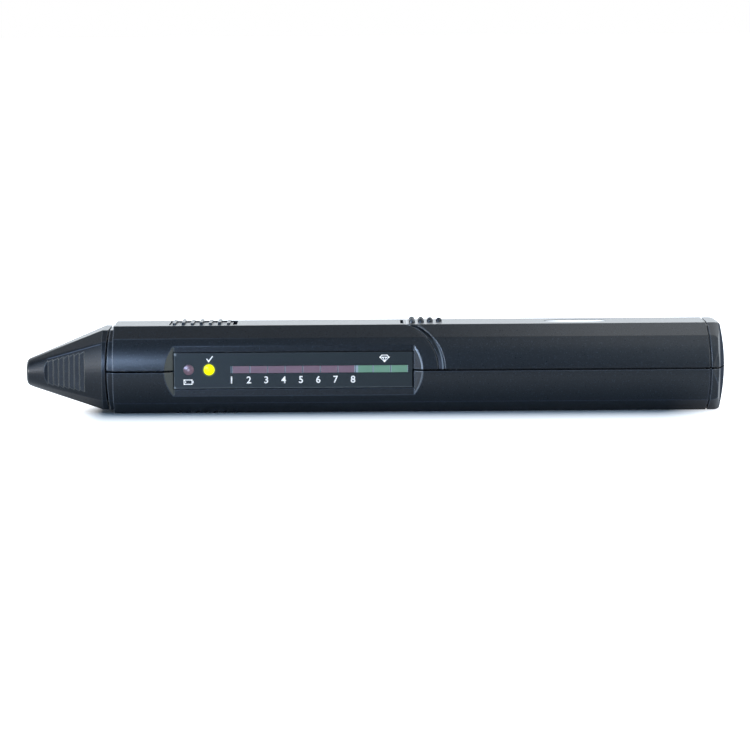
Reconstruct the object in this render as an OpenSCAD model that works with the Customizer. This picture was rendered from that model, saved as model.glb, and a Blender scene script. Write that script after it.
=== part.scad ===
// Diamond tester: a handheld heat probe for gem stones, with a push-on nose cap,
// a lamp panel on one side, a power slide switch and a sliding battery lid.
// The probe tip points along -X, the lamp panel faces -Y, and +Z is up.
// The part stands on its flat bottom at Z = 0, with X = 0 and Y = 0 in its middle.

/* [Case] */
// Width across the round sides
case_w = 34.6; // [34.2:0.2:36]
// Height between the flat top and the flat bottom
case_h = 25.4; // [25.2:0.2:27]
// Width of the flat top and bottom
flat_w = 19.4; // [18.8:0.2:20.4]
// How far the round side bulges out past its edge with the chamfer
side_bulge = 2.6; // [2.4:0.05:2.8]
// Height of that edge above the middle of the case
shoulder_z = 9.35; // [9.1:0.05:9.6]
// Wall thickness of the shells
wall = 1.8; // [1.6:0.1:2]
// Length of the body between the collar and the rear groove
body_l = 172.4; // [170:0.1:180]
// Gap along the parting line between the shells
parting_gap = 0.5; // [0.3:0.05:0.7]
// Radius of the bow of the joints across the case
bow_r = 100; // [85:5:160]
// Width of the collar band behind the nose cap
collar_l = 1.7; // [1.2:0.1:2.2]
// How far the collar and the nose cap lie inside the contour of the body
collar_inset = 1.15; // [0.7:0.05:1.3]
// Width of the groove in front of the rear end
groove_w = 0.5; // [0.4:0.1:1]
// Depth of that groove
groove_d = 0.9; // [0.5:0.1:1]
// Length of the rear end behind the groove
rear_l = 4.8; // [4.5:0.1:6]
// Radius of the domed face of the rear end
rear_dome_r = 53; // [48:1:70]
// Radius of the rounded edge around that face
rear_edge_r = 3; // [2:0.1:3.5]

/* [Nose cap] */
// Length of the nose cap
cap_l = 23.7; // [23:0.1:26]
// Gap between the nose cap and the collar
cap_gap = 0.55; // [0.3:0.05:0.7]
// Length of the straight band at the open end of the cap
cap_band_l = 1; // [0.8:0.1:2]
// Radius of the small end of the cap
cap_tip_r = 4.5; // [4:0.1:4.8]
// Length of the rounded front of the cap
cap_nose_l = 2.1; // [1.8:0.1:2.4]
// Rounding of the rim at the front of the cap
cap_rim_r = 1.5; // [1.2:0.1:1.7]
// How far the axis of the probe lies below the middle of the case
tip_drop = 1.2; // [0.5:0.1:1.4]
// How far the spigot under the cap lies inside the contour of the body
spigot_inset = 3.9; // [3.7:0.1:4.1]
// Length of the spigot that the cap is pushed on
spigot_l = 3.7; // [3.4:0.1:4.2]
// Clearance between the cap and the spigot on each side
cap_clearance = 0.1; // [0.05:0.01:0.2]
// Number of teeth of the grip on each side of the cap
grip_teeth = 8; // [6:1:8]
// Pitch of those teeth
grip_pitch = 1.58; // [1.4:0.01:1.65]
// Distance from the open end of the cap to the last tooth
grip_offset = 6; // [5.6:0.1:6.8]
// Depth of the grip below the side of the cap at its last tooth
grip_depth = 1.4; // [1.1:0.05:1.6]
// How much shallower each next tooth towards the tip is
grip_taper = 0.08; // [0:0.01:0.1]
// Height of one tooth
grip_step = 0.35; // [0.2:0.05:0.5]

/* [Lamp panel] */
// Depth of the flat recess around the lamp panel
recess_d = 1.5; // [1.2:0.1:1.7]
// Length of the flat floor of the recess
recess_l = 69.6; // [69.2:0.2:72]
// Distance from the front of the body to the floor of the recess
recess_x = 17.4; // [17:0.1:20]
// Length along the case that each slanted end wall of the recess takes
recess_slope = 2.6; // [2:0.1:3]
// Height of the lamp panel
panel_h = 10.3; // [9.8:0.1:11]
// Gap around the lamp panel
panel_gap = 0.2; // [0.15:0.05:0.4]
// How far the lamp panel stands proud of the recess floor
panel_proud = 0.2; // [0.1:0.05:0.4]
// Thickness of the flange behind the lamp panel
flange_t = 1; // [0.8:0.1:1.2]
// Width of that flange around the opening
flange_w = 1; // [0.8:0.1:1.4]
// Height of the lamp row above the parting line
lamp_z = 0.4; // [0.3:0.1:0.6]
// Distance from the left end of the panel to the low battery lamp
low_lamp_x = 4.2; // [3.8:0.1:4.6]
// Distance from the left end of the panel to the ready lamp
ready_lamp_x = 10.1; // [9.6:0.1:10.6]
// Diameter of the round lamps
lamp_d = 3; // [2.8:0.1:3.2]
// Distance from the left end of the panel to the lamp bar
bar_x = 16.8; // [16.4:0.1:17]
// Pitch of the lamps in the bar
bar_pitch = 5.08; // [5:0.01:5.1]
// Height of the lamps in the bar
bar_h = 2; // [1.8:0.1:2.2]
// Number of red lamps in the bar
red_lamps = 7; // [5:1:7]
// Number of green lamps in the bar
green_lamps = 3; // [2:1:3]
// Gap between two lamps of the bar
bar_gap = 0.14; // [0.1:0.02:0.3]
// Clearance around each lamp in the panel
lamp_clearance = 0.08; // [0.05:0.01:0.15]
// Depth of the lamp bodies behind the front of the panel
lamp_l = 5; // [4.6:0.1:5.2]

/* [Power switch] */
// Length of the window in the top for the switch knob
window_l = 19.8; // [19.4:0.2:21]
// Width of that window
window_w = 14; // [13:0.2:14.4]
// Distance from the front of the body to the window
window_x = 15.9; // [15:0.1:17]
// Travel of the switch knob
knob_travel = 1.2; // [0.8:0.1:1.4]
// Clearance between the knob and its window
knob_gap = 0.35; // [0.25:0.05:0.4]
// Pitch of the ribs on the knob, on the underside grip and of the pips on the lid
rib_pitch = 2.63; // [2.5:0.01:2.7]
// Number of ribs on the knob
rib_count = 7; // [5:1:7]
// Width of a rib
rib_w = 0.9; // [0.7:0.05:1.1]
// Height of the lower ribs above the top of the case
rib_h = 0.5; // [0.4:0.05:0.7]
// How much higher every second rib is
rib_extra = 0.25; // [0.1:0.05:0.4]
// Depth of the grip grooves in the underside
groove_grip_d = 0.5; // [0.3:0.05:0.7]

/* [Battery lid] */
// Distance from the front of the body to the lid's front edge at the parting line
lid_x = 93.9; // [93:0.1:96]
// How much further forward that edge lies on the top of the case
lid_sweep = 9.34; // [8.8:0.02:9.6]
// Width of the sunk band along the front edge of the lid
lid_band_w = 1.9; // [1.4:0.1:2.2]
// Depth of the sunk band
lid_band_d = 0.5; // [0.3:0.05:0.7]
// Gap between the upper shell and the lid
lid_gap = 0.2; // [0.15:0.05:0.3]
// Radius of a pip of the finger grip
pip_r = 0.9; // [0.7:0.05:1]
// How far the middle of a pip lies above the top of the case
pip_lift = 0.3; // [0.1:0.05:0.4]
// Pitch of the pips across the lid
pip_row = 3; // [2.6:0.1:3.2]
// Number of pips in the first column
pip_columns = 4; // [3:1:4]
// Length of the oval badge
badge_l = 18.2; // [16:0.2:20]
// Width of the oval badge
badge_w = 9; // [8:0.2:10]
// Depth of the seat of the badge
badge_d = 0.4; // [0.3:0.05:0.5]
// Distance from the rear end to the middle of the badge
badge_x = 43.4; // [42:0.2:46]

/* [Battery] */
// Length of the battery without its terminals
battery_l = 46.4; // [45:0.1:46.4]
// Distance between the battery and the outside of the case on each side
battery_side = 4.2; // [4.1:0.05:4.8]
// Thickness of the battery
battery_h = 17.3; // [16.5:0.1:17.5]
// Rounding of the long edges of the battery
battery_r = 2; // [1.8:0.1:3]
// Height of the terminals
terminal_h = 2.6; // [2.2:0.1:2.8]
// Gap between the battery and the rear wall of its bay
battery_gap = 0.8; // [0.4:0.1:1.2]

/* [Board] */
// Length of the circuit board
board_l = 74; // [73:0.5:75]
// Thickness of the circuit board
board_t = 1.6; // [1.4:0.1:1.6]
// Distance from the front of the body to the circuit board
board_x = 13.9; // [13.4:0.1:14.2]
// Distance from the circuit board to the far wall
board_margin = 1.6; // [1.2:0.1:2.4]
// Distance of the two front case screws from the middle
screw_y = 7; // [6.8:0.1:7.2]
// Radius of a case screw's shank
screw_r = 1.2; // [1:0.05:1.3]
// Radius of a case screw's head
screw_head_r = 2.1; // [1.9:0.05:2.2]
// Thickness of the wall of a screw post
post_t = 1.5; // [1.3:0.1:1.6]

/* [Probe] */
// Radius of the probe housing behind the front wall
housing_r = 4; // [3.8:0.1:4.1]
// Radius of the cone of the housing at its base
cone_r = 7; // [6.4:0.1:7.2]
// Length of that cone
cone_l = 13.2; // [12.4:0.1:13.4]
// Radius of the steel sleeve around the probe tip
sleeve_r = 0.9; // [0.8:0.05:1]
// How far the sleeve stands out of the cone
sleeve_l = 2.4; // [2:0.1:2.6]
// Radius of the copper probe tip
tip_r = 0.4; // [0.35:0.01:0.45]
// Travel of the probe tip when it is pressed on a stone
tip_travel = 1; // [0.6:0.1:1.2]
// How far the pressed probe tip still stands out of the sleeve
tip_rest = 0.4; // [0.2:0.1:0.4]
// Radial clearance of the probe tip in the sleeve
tip_clearance = 0.08; // [0.05:0.01:0.1]
// Radius of the bore that holds the heater and the spring
chamber_r = 2.4; // [2.3:0.05:2.5]
// Number of turns of the return spring
spring_turns = 7; // [5:1:9]
// Wire diameter of the return spring
spring_wire = 0.4; // [0.3:0.05:0.5]

/* [Hidden] */
$fn = 96;

// A cut reaches this far past the face that it opens
past = 1;
// Pieces of one shell overlap this much where they are joined
bond = 0.4;
// Clearance between a tongue and the wall that it lies against
fit = 0.15;
// Clearance between two loose inner pieces
loose = 0.1;
total_l = cap_l + cap_gap + collar_l + body_l + groove_w + rear_l;
mid_z = case_h / 2;
half_w = case_w / 2;
rear_x = total_l / 2;
rear_face_x = rear_x - rear_l;
groove_x = rear_face_x - groove_w;
body_x = groove_x - body_l;
collar_x = body_x - collar_l;
cap_x = collar_x - cap_gap;
spigot_x = collar_x - cap_gap - spigot_l;
probe_z = mid_z - tip_drop;

// The contour: flats at top and bottom, four chamfers and two round sides
shoulder_y = half_w - side_bulge;
chamfer_run = shoulder_y - flat_w / 2;
chamfer_drop = mid_z - shoulder_z;
chamfer_len = sqrt(chamfer_run * chamfer_run + chamfer_drop * chamfer_drop);
chamfer_ny = chamfer_drop / chamfer_len;
chamfer_nz = chamfer_run / chamfer_len;
chamfer_d = chamfer_ny * flat_w / 2 + chamfer_nz * mid_z;
side_r = (side_bulge * side_bulge + shoulder_z * shoulder_z) / (2 * side_bulge);
side_c = half_w - side_r;

// Half width of the flats and of the chamfers' crossing, both at an inset
function flat_half(inset) = (chamfer_d - inset - chamfer_nz * (mid_z - inset)) / chamfer_ny;
function apex_half(inset) = (chamfer_d - inset) / chamfer_ny;
// Half width of the round side at a height above the middle
function side_half(inset, z) = side_c + sqrt(pow(side_r - inset, 2) - z * z);

// Everything inside one of the two round sides
module round_side(side, inset) {
    translate([side * side_c, 0]) circle(r = side_r - inset);
    translate([side * (side_c - case_w), 0]) square([2 * case_w, 2 * case_h], center = true);
}

module section(inset = 0) {
    top = mid_z - inset;
    flat = flat_half(inset);
    apex = apex_half(inset);
    intersection() {
        polygon([[-flat, top], [flat, top], [apex, 0], [flat, -top], [-flat, -top], [-apex, 0]]);
        round_side(1, inset);
        round_side(-1, inset);
    }
}

module along_x(x0, x1) {
    translate([x0, 0, mid_z]) rotate([90, 0, 90]) linear_extrude(x1 - x0) children();
}

// A box between two corners
module block(low, high) {
    translate(low) cube([high.x - low.x, high.y - low.y, high.z - low.z]);
}

// A round rod along X, and a disc across the whole case
module rod_x(x0, x1, r) {
    translate([x0, 0, 0]) rotate([0, 90, 0]) cylinder(r = r, h = x1 - x0);
}

module disc_y(x, z, r) {
    translate([x, 0, z]) rotate([90, 0, 0]) cylinder(r = r, h = case_w + 4 * past, center = true);
}

// Everything above or below a height
module above(z) {
    block([-total_l, -case_w, z], [total_l, case_w, 2 * case_h]);
}

module below(z) {
    block([-total_l, -case_w, -case_h], [total_l, case_w, z]);
}

upper_z = mid_z + parting_gap / 2;
lower_z = mid_z - parting_gap / 2;

// The sweep of the lid's front edge seen from the side: a circle that is upright at the
// parting line and meets the top of the case further forward
arc_z = mid_z + 0.6;
lid_edge_x = body_x + lid_x;
lid_top_x = lid_edge_x - lid_sweep;
edge_r = (lid_sweep * lid_sweep + pow(case_h - arc_z, 2)) / (2 * lid_sweep);
edge_cx = lid_edge_x - edge_r;

// Everything in front of that sweep when it is moved back
module front_of_sweep(back) {
    cx = edge_cx + back;
    disc_y(cx, arc_z, edge_r);
    block([-total_l, -case_w, arc_z - edge_r / 2], [cx, case_w, case_h + past]);
    block([-total_l, -case_w, 0], [cx + edge_r, case_w, arc_z]);
}

// The rear end between two opposite sides of the contour, which the rounded edges meet
// the dome of its face; the turn is about X, and at 0 the two sides face along Y
rear_crease = 0.28;

module rear_edges(half, turn) {
    inner = half - rear_edge_r;
    edge_x = rear_x - rear_dome_r + sqrt(pow(rear_dome_r - rear_edge_r + rear_crease, 2) - inner * inner);
    translate([0, 0, mid_z]) rotate([turn, 0, 0]) linear_extrude(2 * case_w, center = true) {
        translate([groove_x - 2 * past, -half]) square([edge_x - groove_x + 2 * past, 2 * half]);
        translate([groove_x - 2 * past, -inner]) square([rear_l + groove_w + 3 * past, 2 * inner]);
        for (side = [-1, 1])
            translate([edge_x, side * inner]) circle(r = rear_edge_r);
    }
}

module rear_end() {
    slant = atan2(chamfer_nz, chamfer_ny);
    difference() {
        intersection() {
            along_x(groove_x - past, rear_x + past) section();
            translate([rear_x - rear_dome_r, 0, mid_z]) sphere(r = rear_dome_r);
            rear_edges(half_w, 0);
            rear_edges(mid_z, 90);
            rear_edges(chamfer_d, slant);
            rear_edges(chamfer_d, -slant);
        }
        disc_y(groove_x - bow_r, mid_z, bow_r + groove_w);
    }
}

// The outside of the closed case without its nose cap
module case_outside() {
    intersection() {
        along_x(body_x, groove_x) section();
        union() {
            disc_y(groove_x - bow_r, mid_z, bow_r);
            block([-total_l, -case_w, -case_h], [groove_x - bow_r / 2, case_w, 2 * case_h]);
        }
    }
    along_x(groove_x - 3 * past, rear_face_x + past) section(groove_d);
    rear_end();
    intersection() {
        along_x(collar_x - past, body_x + bond) section(collar_inset);
        disc_y(collar_x + bow_r, mid_z, bow_r);
    }
    along_x(spigot_x, collar_x + past) section(spigot_inset);
}

// The flat recess around the lamp panel, with slanted end walls
recess_x0 = body_x + recess_x;
recess_x1 = recess_x0 + recess_l;
panel_floor_y = -half_w + recess_d;
panel_back_y = panel_floor_y + wall;

module panel_recess() {
    reach = recess_slope * (recess_d + past) / recess_d;
    linear_extrude(case_h) polygon([
        [recess_x0, panel_floor_y],
        [recess_x1, panel_floor_y],
        [recess_x1 + reach, -half_w - past],
        [recess_x0 - reach, -half_w - past]
    ]);
}

// The lamp panel's own place
panel_x0 = recess_x0 + panel_gap + loose;
panel_x1 = recess_x1 - panel_gap - loose;
panel_z = mid_z + 0.15;
panel_z0 = panel_z - panel_h / 2;
panel_z1 = panel_z + panel_h / 2;
panel_face_y = panel_floor_y - panel_proud;
flange_y = panel_back_y + loose;
flange_back_y = flange_y + flange_t;

module panel_opening() {
    block(
        [panel_x0 - panel_gap, panel_floor_y - past, panel_z0 - panel_gap],
        [panel_x1 + panel_gap, panel_back_y + past, panel_z1 + panel_gap]
    );
}

// The hollow inside the case, with a partition in front of the battery bay
partition_inset = 3.6;
partition_t = 1.6;
spigot_wall = 1.5;
front_wall = 1.6;
rear_wall = 3.3;
bay_end_t = 1.4;
partition_x = lid_edge_x + partition_inset;
bay_x0 = partition_x + partition_t;
bay_x1 = groove_x - bay_end_t;

module front_hollow(x1) {
    intersection() {
        along_x(body_x + wall, x1) section(wall);
        block([body_x, panel_back_y, 0], [x1, case_w, case_h]);
    }
    along_x(spigot_x + front_wall, body_x + wall + bond) section(spigot_inset + spigot_wall);
}

module rear_hollow(x0) {
    along_x(x0, bay_x1) section(wall);
    along_x(bay_x1 - bond, rear_x - rear_wall) section(wall + groove_d);
}

// The lower shell's inner lip closes the parting line, and its bead holds the lid down
lip_t = 0.8;
lip_root = 1.8;
lip_rise = 1.2;
bead_z = 0.6;
bead_out = 0.35;

module ring(outer_inset, inner_inset) {
    difference() {
        section(outer_inset);
        section(inner_inset);
    }
}

module lip(x0, x1) {
    intersection() {
        along_x(x0, x1) ring(wall - bond, wall + fit + lip_t);
        block([x0, -case_w, mid_z - lip_root], [x1, case_w, lower_z - bond]);
    }
    intersection() {
        along_x(x0, x1) ring(wall + fit, wall + fit + lip_t);
        block([x0, -case_w, lower_z - 2 * bond], [x1, case_w, mid_z + lip_rise]);
    }
}

module lid_bead(x0, x1, grow = 0) {
    intersection() {
        along_x(x0, x1) ring(wall - bead_out - grow, wall + fit + lip_t / 2);
        block([x0, -case_w, mid_z + bead_z - grow], [x1, case_w, mid_z + lip_rise + grow]);
    }
}

// Board level and the posts that carry it
lamp_axis_z = mid_z + lamp_z;
lamp_flange_r = lamp_d / 2 + 0.4;
board_top_z = lamp_axis_z - lamp_flange_r - loose;
board_z = board_top_z - board_t;
board_x0 = body_x + board_x;
board_x1 = board_x0 + board_l;
board_y0 = flange_back_y + 0.3;
board_y1 = side_half(wall, mid_z - board_z) - board_margin;
board_post_r = 2.6;
board_screw_r = 0.9;
board_screw_l = 6;
board_screw_inset = 3.4;
board_posts = [
    [board_x0 + board_screw_inset, board_y0 + board_screw_inset],
    [board_x0 + board_screw_inset, board_y1 - board_screw_inset],
    [board_x1 - board_screw_inset, board_y1 - board_screw_inset],
    [board_x1 - board_screw_inset, board_y0 + 2.4 * board_screw_inset]
];

// Case screws: two beside the probe and one behind the middle of the board
post_r = screw_r + post_t;
counterbore_r = screw_head_r + 0.2;
counterbore_d = 3.2;
screw_head_h = 1.8;
thread_l = 7.2;
thread_spare = 2.8;
post_split_z = mid_z - 2.7;
front_screw_inset = 5.6;
rear_screw_inset = 6.8;
front_screw_x = body_x + front_screw_inset;
rear_screw_x = lid_top_x - rear_screw_inset;
case_posts = [
    [front_screw_x, -screw_y],
    [front_screw_x, screw_y],
    [rear_screw_x, 0]
];

// The ribbed grip shared by the knob and the underside
window_x0 = body_x + window_x;
window_x1 = window_x0 + window_l;
knob_x0 = window_x0 + knob_gap;
knob_x1 = window_x1 - knob_travel - knob_gap / 2;
knob_half_w = window_w / 2 - knob_gap;
rib_x0 = (knob_x0 + knob_x1) / 2 - (rib_count - 1) / 2 * rib_pitch;
function rib_x(i) = rib_x0 + i * rib_pitch;

module underside_grip() {
    for (i = [0 : rib_count - 1])
        translate([rib_x(i) + rib_pitch / 2, 0, 0])
            block([0, -half_w, -past], [rib_w, half_w, groove_grip_d]);
}

battery_w = case_w - 2 * battery_side;
battery_x1 = bay_x1 - battery_gap;
battery_x0 = battery_x1 - battery_l;
battery_z0 = mid_z - battery_h / 2;
cradle_w = 1.2;

// Ribs on the floor of the bay under the battery, and the stop behind it
module battery_cradle() {
    for (x = [battery_x0 + 6, battery_x1 - 8])
        intersection() {
            along_x(x, x + cradle_w) section(wall - bond);
            below(battery_z0);
        }
    for (side = [-1, 1])
        intersection() {
            along_x(battery_x1 + loose, bay_x1 + past) section(wall - bond);
            translate([0, side * battery_w / 4, 0])
                block([battery_x1, -cradle_w, 0], [bay_x1 + past, cradle_w, mid_z - 2]);
        }
}

module partition() {
    wire_slot_w = 3;
    difference() {
        along_x(partition_x, bay_x0) section(wall + fit);
        above(mid_z + battery_h / 2 - 0.6);
        block([partition_x - past, -wire_slot_w, mid_z - 3], [bay_x0 + past, wire_slot_w, case_h]);
    }
}

// The hole in the front wall for the probe housing
module housing_bore() {
    translate([0, 0, probe_z])
        rod_x(spigot_x - past, spigot_x + front_wall + past, housing_r + loose);
}

// A rib under the probe housing that carries it behind the front wall
cradle_inset = 10;
cradle_x = body_x + cradle_inset;

module housing_cradle() {
    difference() {
        along_x(cradle_x, cradle_x + cradle_w) section(wall - bond);
        above(probe_z);
        translate([0, 0, probe_z])
            rod_x(cradle_x - past, cradle_x + cradle_w + past, housing_r + loose);
    }
}

// An upright round post, or the hole in one
module post(place, z0, z1, r) {
    translate([place.x, place.y, z0]) cylinder(r = r, h = z1 - z0);
}

module lower_shell() {
    color("#24282c") difference() {
        union() {
            difference() {
                case_outside();
                above(lower_z);
                front_hollow(partition_x);
                rear_hollow(bay_x0);
            }
            difference() {
                lip(body_x + wall, bay_x1);
                block([body_x, -case_w, 0], [partition_x, 0, case_h]);
                block([partition_x - loose, -case_w, lower_z], [bay_x0 + loose, case_w, case_h]);
            }
            lid_bead(bay_x0 + past, bay_x1);
            partition();
            battery_cradle();
            housing_cradle();
            for (p = board_posts)
                post(p, wall - bond, board_z, board_post_r);
            for (p = case_posts)
                post(p, past / 2, post_split_z, post_r);
        }
        panel_recess();
        panel_opening();
        underside_grip();
        housing_bore();
        for (p = board_posts)
            post(p, board_top_z - board_screw_l - past / 2, board_z + past, board_screw_r);
        for (p = case_posts) {
            post(p, -past, counterbore_d, counterbore_r);
            post(p, 0, post_split_z + past, screw_r + 0.2);
        }
    }
}

notch_w = 12;
notch_l = 0.95;
notch_d = 1.2;
notch_rim = 0.45;

// The upper shell's lip under the front edge of the lid, beside the lid's tongue
seam_root = 2.4;
seam_reach = 1.4;

module seam_lip() {
    x1 = lid_edge_x + seam_reach;
    difference() {
        union() {
            intersection() {
                along_x(lid_top_x - seam_root, x1) ring(wall - bond, wall + fit + lip_t);
                front_of_sweep(-bond);
            }
            intersection() {
                along_x(lid_top_x - seam_root, x1) ring(wall + fit, wall + fit + lip_t);
                front_of_sweep(seam_reach);
            }
        }
        front_of_sweep(-seam_root);
        below(mid_z + lip_rise + 2 * fit);
        block([-total_l, -tongue_w / 2 - 2 * fit, 0], [total_l, tongue_w / 2 + 2 * fit, case_h]);
    }
}

module upper_shell() {
    color("#24282c") difference() {
        union() {
            difference() {
                intersection() {
                    case_outside();
                    front_of_sweep(0);
                }
                below(upper_z);
                front_hollow(lid_edge_x + past);
            }
            seam_lip();
            for (p = case_posts)
                post(p, post_split_z, case_h - wall + bond, post_r);
        }
        panel_recess();
        panel_opening();
        block([window_x0, -window_w / 2, mid_z], [window_x1, window_w / 2, case_h + past]);
        translate([lid_top_x, 0, case_h])
            block([-notch_rim - notch_l, -notch_w / 2, -notch_d], [-notch_rim, notch_w / 2, past]);
        housing_bore();
        for (p = case_posts)
            post(p, post_split_z - past, post_split_z + thread_l + thread_spare, screw_r + 0.05);
    }
}

tongue_t = 1;
tongue_l = 2.6;
tongue_w = 10;
tongue_root_l = 3;
tongue_root_x = edge_cx + lid_gap + sqrt(edge_r * edge_r - pow(case_h - wall - arc_z, 2));
lid_pip_x = lid_top_x + 2;
badge_cx = rear_x - badge_x;

function oval(l, w, steps = 72) = [
    for (i = [0 : steps - 1]) [l / 2 * cos(i * 360 / steps), w / 2 * sin(i * 360 / steps)]
];

module lid_outside() {
    band_end_y = flat_w / 2 + lid_band_d;
    difference() {
        case_outside();
        below(upper_z);
        front_of_sweep(lid_gap);
        difference() {
            front_of_sweep(lid_gap + lid_band_w);
            block([-total_l, -band_end_y, 0], [total_l, band_end_y, case_h + 2 * past]);
        }
    }
    difference() {
        along_x(lid_top_x - past, groove_x - 4 * past) section(lid_band_d);
        below(upper_z);
        front_of_sweep(lid_gap);
    }
    difference() {
        for (column = [0 : pip_columns - 1])
            for (row = [0 : pip_columns - 1 - column])
                pip(column, row - (pip_columns - 1 - column) / 2);
        front_of_sweep(lid_gap);
    }
}

module pip(column, row) {
    translate([lid_pip_x + column * rib_pitch, row * pip_row, case_h + pip_lift])
        sphere(r = pip_r, $fn = 32);
}

// A layer of the tongue that holds the lid's front edge down under the upper shell
module lid_tongue(x0, inset) {
    x1 = tongue_root_x + tongue_root_l;
    intersection() {
        along_x(x0, x1) ring(inset, wall + fit + tongue_t);
        block([x0, -tongue_w / 2, mid_z], [x1, tongue_w / 2, case_h]);
    }
}

module battery_lid() {
    color("#24282c") difference() {
        union() {
            difference() {
                lid_outside();
                rear_hollow(lid_top_x - 2 * past);
            }
            lid_tongue(lid_top_x - tongue_l, wall + fit);
            lid_tongue(tongue_root_x, wall - bond);
        }
        lid_bead(lid_top_x - 2 * past, bay_x1 + fit, fit);
        translate([badge_cx, 0, case_h - badge_d])
            linear_extrude(badge_d + past) polygon(oval(badge_l, badge_w));
    }
}

module oval_badge() {
    color("silver") translate([badge_cx, 0, case_h - badge_d])
        linear_extrude(badge_d - 0.1) polygon(oval(badge_l - 2 * loose, badge_w - 2 * loose));
}

foam_gap = 0.25;
foam_w = 16;
foam_inset = 8;

module lid_foam() {
    color("dimgray") block(
        [battery_x0 + foam_inset, -foam_w / 2, mid_z + battery_h / 2 + foam_gap],
        [battery_x1 - foam_inset, foam_w / 2, case_h - wall]
    );
}

// The nose cap: a loft from the contour of the collar to a round tip
cap_front_x = cap_x - cap_l;
cap_loft_x = cap_x - cap_band_l;
cap_tip_x = cap_front_x + cap_nose_l;
loft_slope = (half_w - collar_inset - cap_tip_r) / (cap_loft_x - cap_tip_x);
socket_x = spigot_x - 0.2;
cap_wall = 1.6;
cavity_r = cone_r + 1.4;
cavity_tip_r = cap_tip_r - cap_wall;
cavity_x = cap_front_x + cap_wall + 0.9;
grip_x1 = cap_x - grip_offset;
grip_x0 = grip_x1 - (grip_teeth - 1) * grip_pitch;
function cap_side(x) = half_w - collar_inset - loft_slope * (cap_loft_x - x);
tooth_rise = loft_slope * grip_pitch - grip_taper;
function tooth_y(i) = cap_side(grip_x1) - grip_depth - (grip_teeth - 1 - i) * tooth_rise;

module cap_outside() {
    hull() {
        along_x(cap_loft_x, cap_loft_x + 0.01) section(collar_inset);
        translate([0, 0, probe_z]) rod_x(cap_tip_x, cap_tip_x + 0.01, cap_tip_r, $fn = 64);
        translate([cap_front_x + cap_rim_r, 0, probe_z]) rotate([0, 90, 0])
            rotate_extrude($fn = 64) translate([cap_tip_r - cap_rim_r - 0.35, 0])
                circle(r = cap_rim_r, $fn = 24);
    }
    along_x(cap_loft_x, collar_x + past) section(collar_inset);
}

// Teeth of the side grip, seen from above: each floor climbs less than the side of the
// cap does, and a slanted step leads to the next
module grip_teeth_plan() {
    riser = 0.2;
    start_x = grip_x0 - 1.2;
    polygon(concat(
        [[start_x, cap_side(start_x)]],
        [for (i = [0 : grip_teeth - 1]) each [
            [grip_x0 + i * grip_pitch - riser, tooth_y(i)],
            [grip_x0 + i * grip_pitch, tooth_y(i) + (i == grip_teeth - 1 ? 2 * grip_depth : grip_step)]
        ]],
        [[grip_x1, case_w], [start_x, case_w]]
    ));
}

module nose_cap() {
    color("#24282c") difference() {
        cap_outside();
        disc_y(collar_x + bow_r, mid_z, bow_r + cap_gap);
        along_x(socket_x, collar_x + 2 * past) section(spigot_inset - cap_clearance);
        translate([cavity_x, 0, probe_z]) rotate([0, 90, 0])
            cylinder(r1 = cavity_tip_r, r2 = cavity_r, h = socket_x - cavity_x + bond);
        linear_extrude(case_h) grip_teeth_plan();
        linear_extrude(case_h) mirror([0, 1]) grip_teeth_plan();
    }
}

// The lamp panel with its flange, two round holes and the slot of the bar
bar_x0 = panel_x0 + bar_x;
bar_x1 = bar_x0 + (red_lamps + green_lamps) * bar_pitch;

module display_panel() {
    color("#3a4147") difference() {
        union() {
            block([panel_x0, panel_face_y, panel_z0], [panel_x1, flange_y + bond, panel_z1]);
            block(
                [panel_x0 - flange_w, flange_y, panel_z0 - flange_w],
                [panel_x1 + flange_w, flange_back_y, panel_z1 + flange_w]
            );
        }
        for (x = [low_lamp_x, ready_lamp_x])
            translate([panel_x0 + x, panel_face_y - past, lamp_axis_z]) rotate([-90, 0, 0])
                cylinder(r = lamp_d / 2 + lamp_clearance, h = wall + 3 * past + flange_t);
        block(
            [bar_x0 - lamp_clearance, panel_face_y - past, lamp_axis_z - bar_h / 2 - lamp_clearance],
            [bar_x1 + lamp_clearance, flange_back_y + past, lamp_axis_z + bar_h / 2 + lamp_clearance]
        );
    }
}

// Lamps: each has a body that lies along Y and two bent legs that stand on the board
leg = 0.5;
leg_pitch = 2.54;
leg_run = 2.4;
lamp_back_y = panel_face_y + lamp_l;

module lamp_legs(x) {
    for (side = [-1, 1]) {
        leg_x = x + side * leg_pitch / 2;
        block(
            [leg_x - leg / 2, lamp_back_y - bond, lamp_axis_z - leg / 2],
            [leg_x + leg / 2, lamp_back_y + leg_run, lamp_axis_z + leg / 2]
        );
        block(
            [leg_x - leg / 2, lamp_back_y + leg_run - leg, board_top_z],
            [leg_x + leg / 2, lamp_back_y + leg_run, lamp_axis_z]
        );
    }
}

module round_lamp(x) {
    lens = 0.3;
    translate([x, panel_face_y, lamp_axis_z]) rotate([-90, 0, 0]) {
        cylinder(r = lamp_d / 2, h = lamp_l - bond, $fn = 48);
        translate([0, 0, flange_back_y - panel_face_y + loose])
            cylinder(r = lamp_flange_r, h = lamp_back_y - flange_back_y - loose, $fn = 48);
        intersection() {
            translate([0, 0, (pow(lamp_d / 2, 2) - lens * lens) / (2 * lens)])
                sphere(r = (pow(lamp_d / 2, 2) + lens * lens) / (2 * lens));
            translate([0, 0, -lens]) cylinder(r = lamp_d / 2, h = 2 * lens, $fn = 48);
        }
    }
    lamp_legs(x);
}

module bar_lamps(first, count) {
    for (i = [first : first + count - 1]) {
        x0 = bar_x0 + i * bar_pitch;
        block(
            [x0 + bar_gap / 2, panel_face_y, lamp_axis_z - bar_h / 2],
            [x0 + bar_pitch - bar_gap / 2, lamp_back_y, lamp_axis_z + bar_h / 2]
        );
        lamp_legs(x0 + bar_pitch / 2);
    }
}

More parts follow.
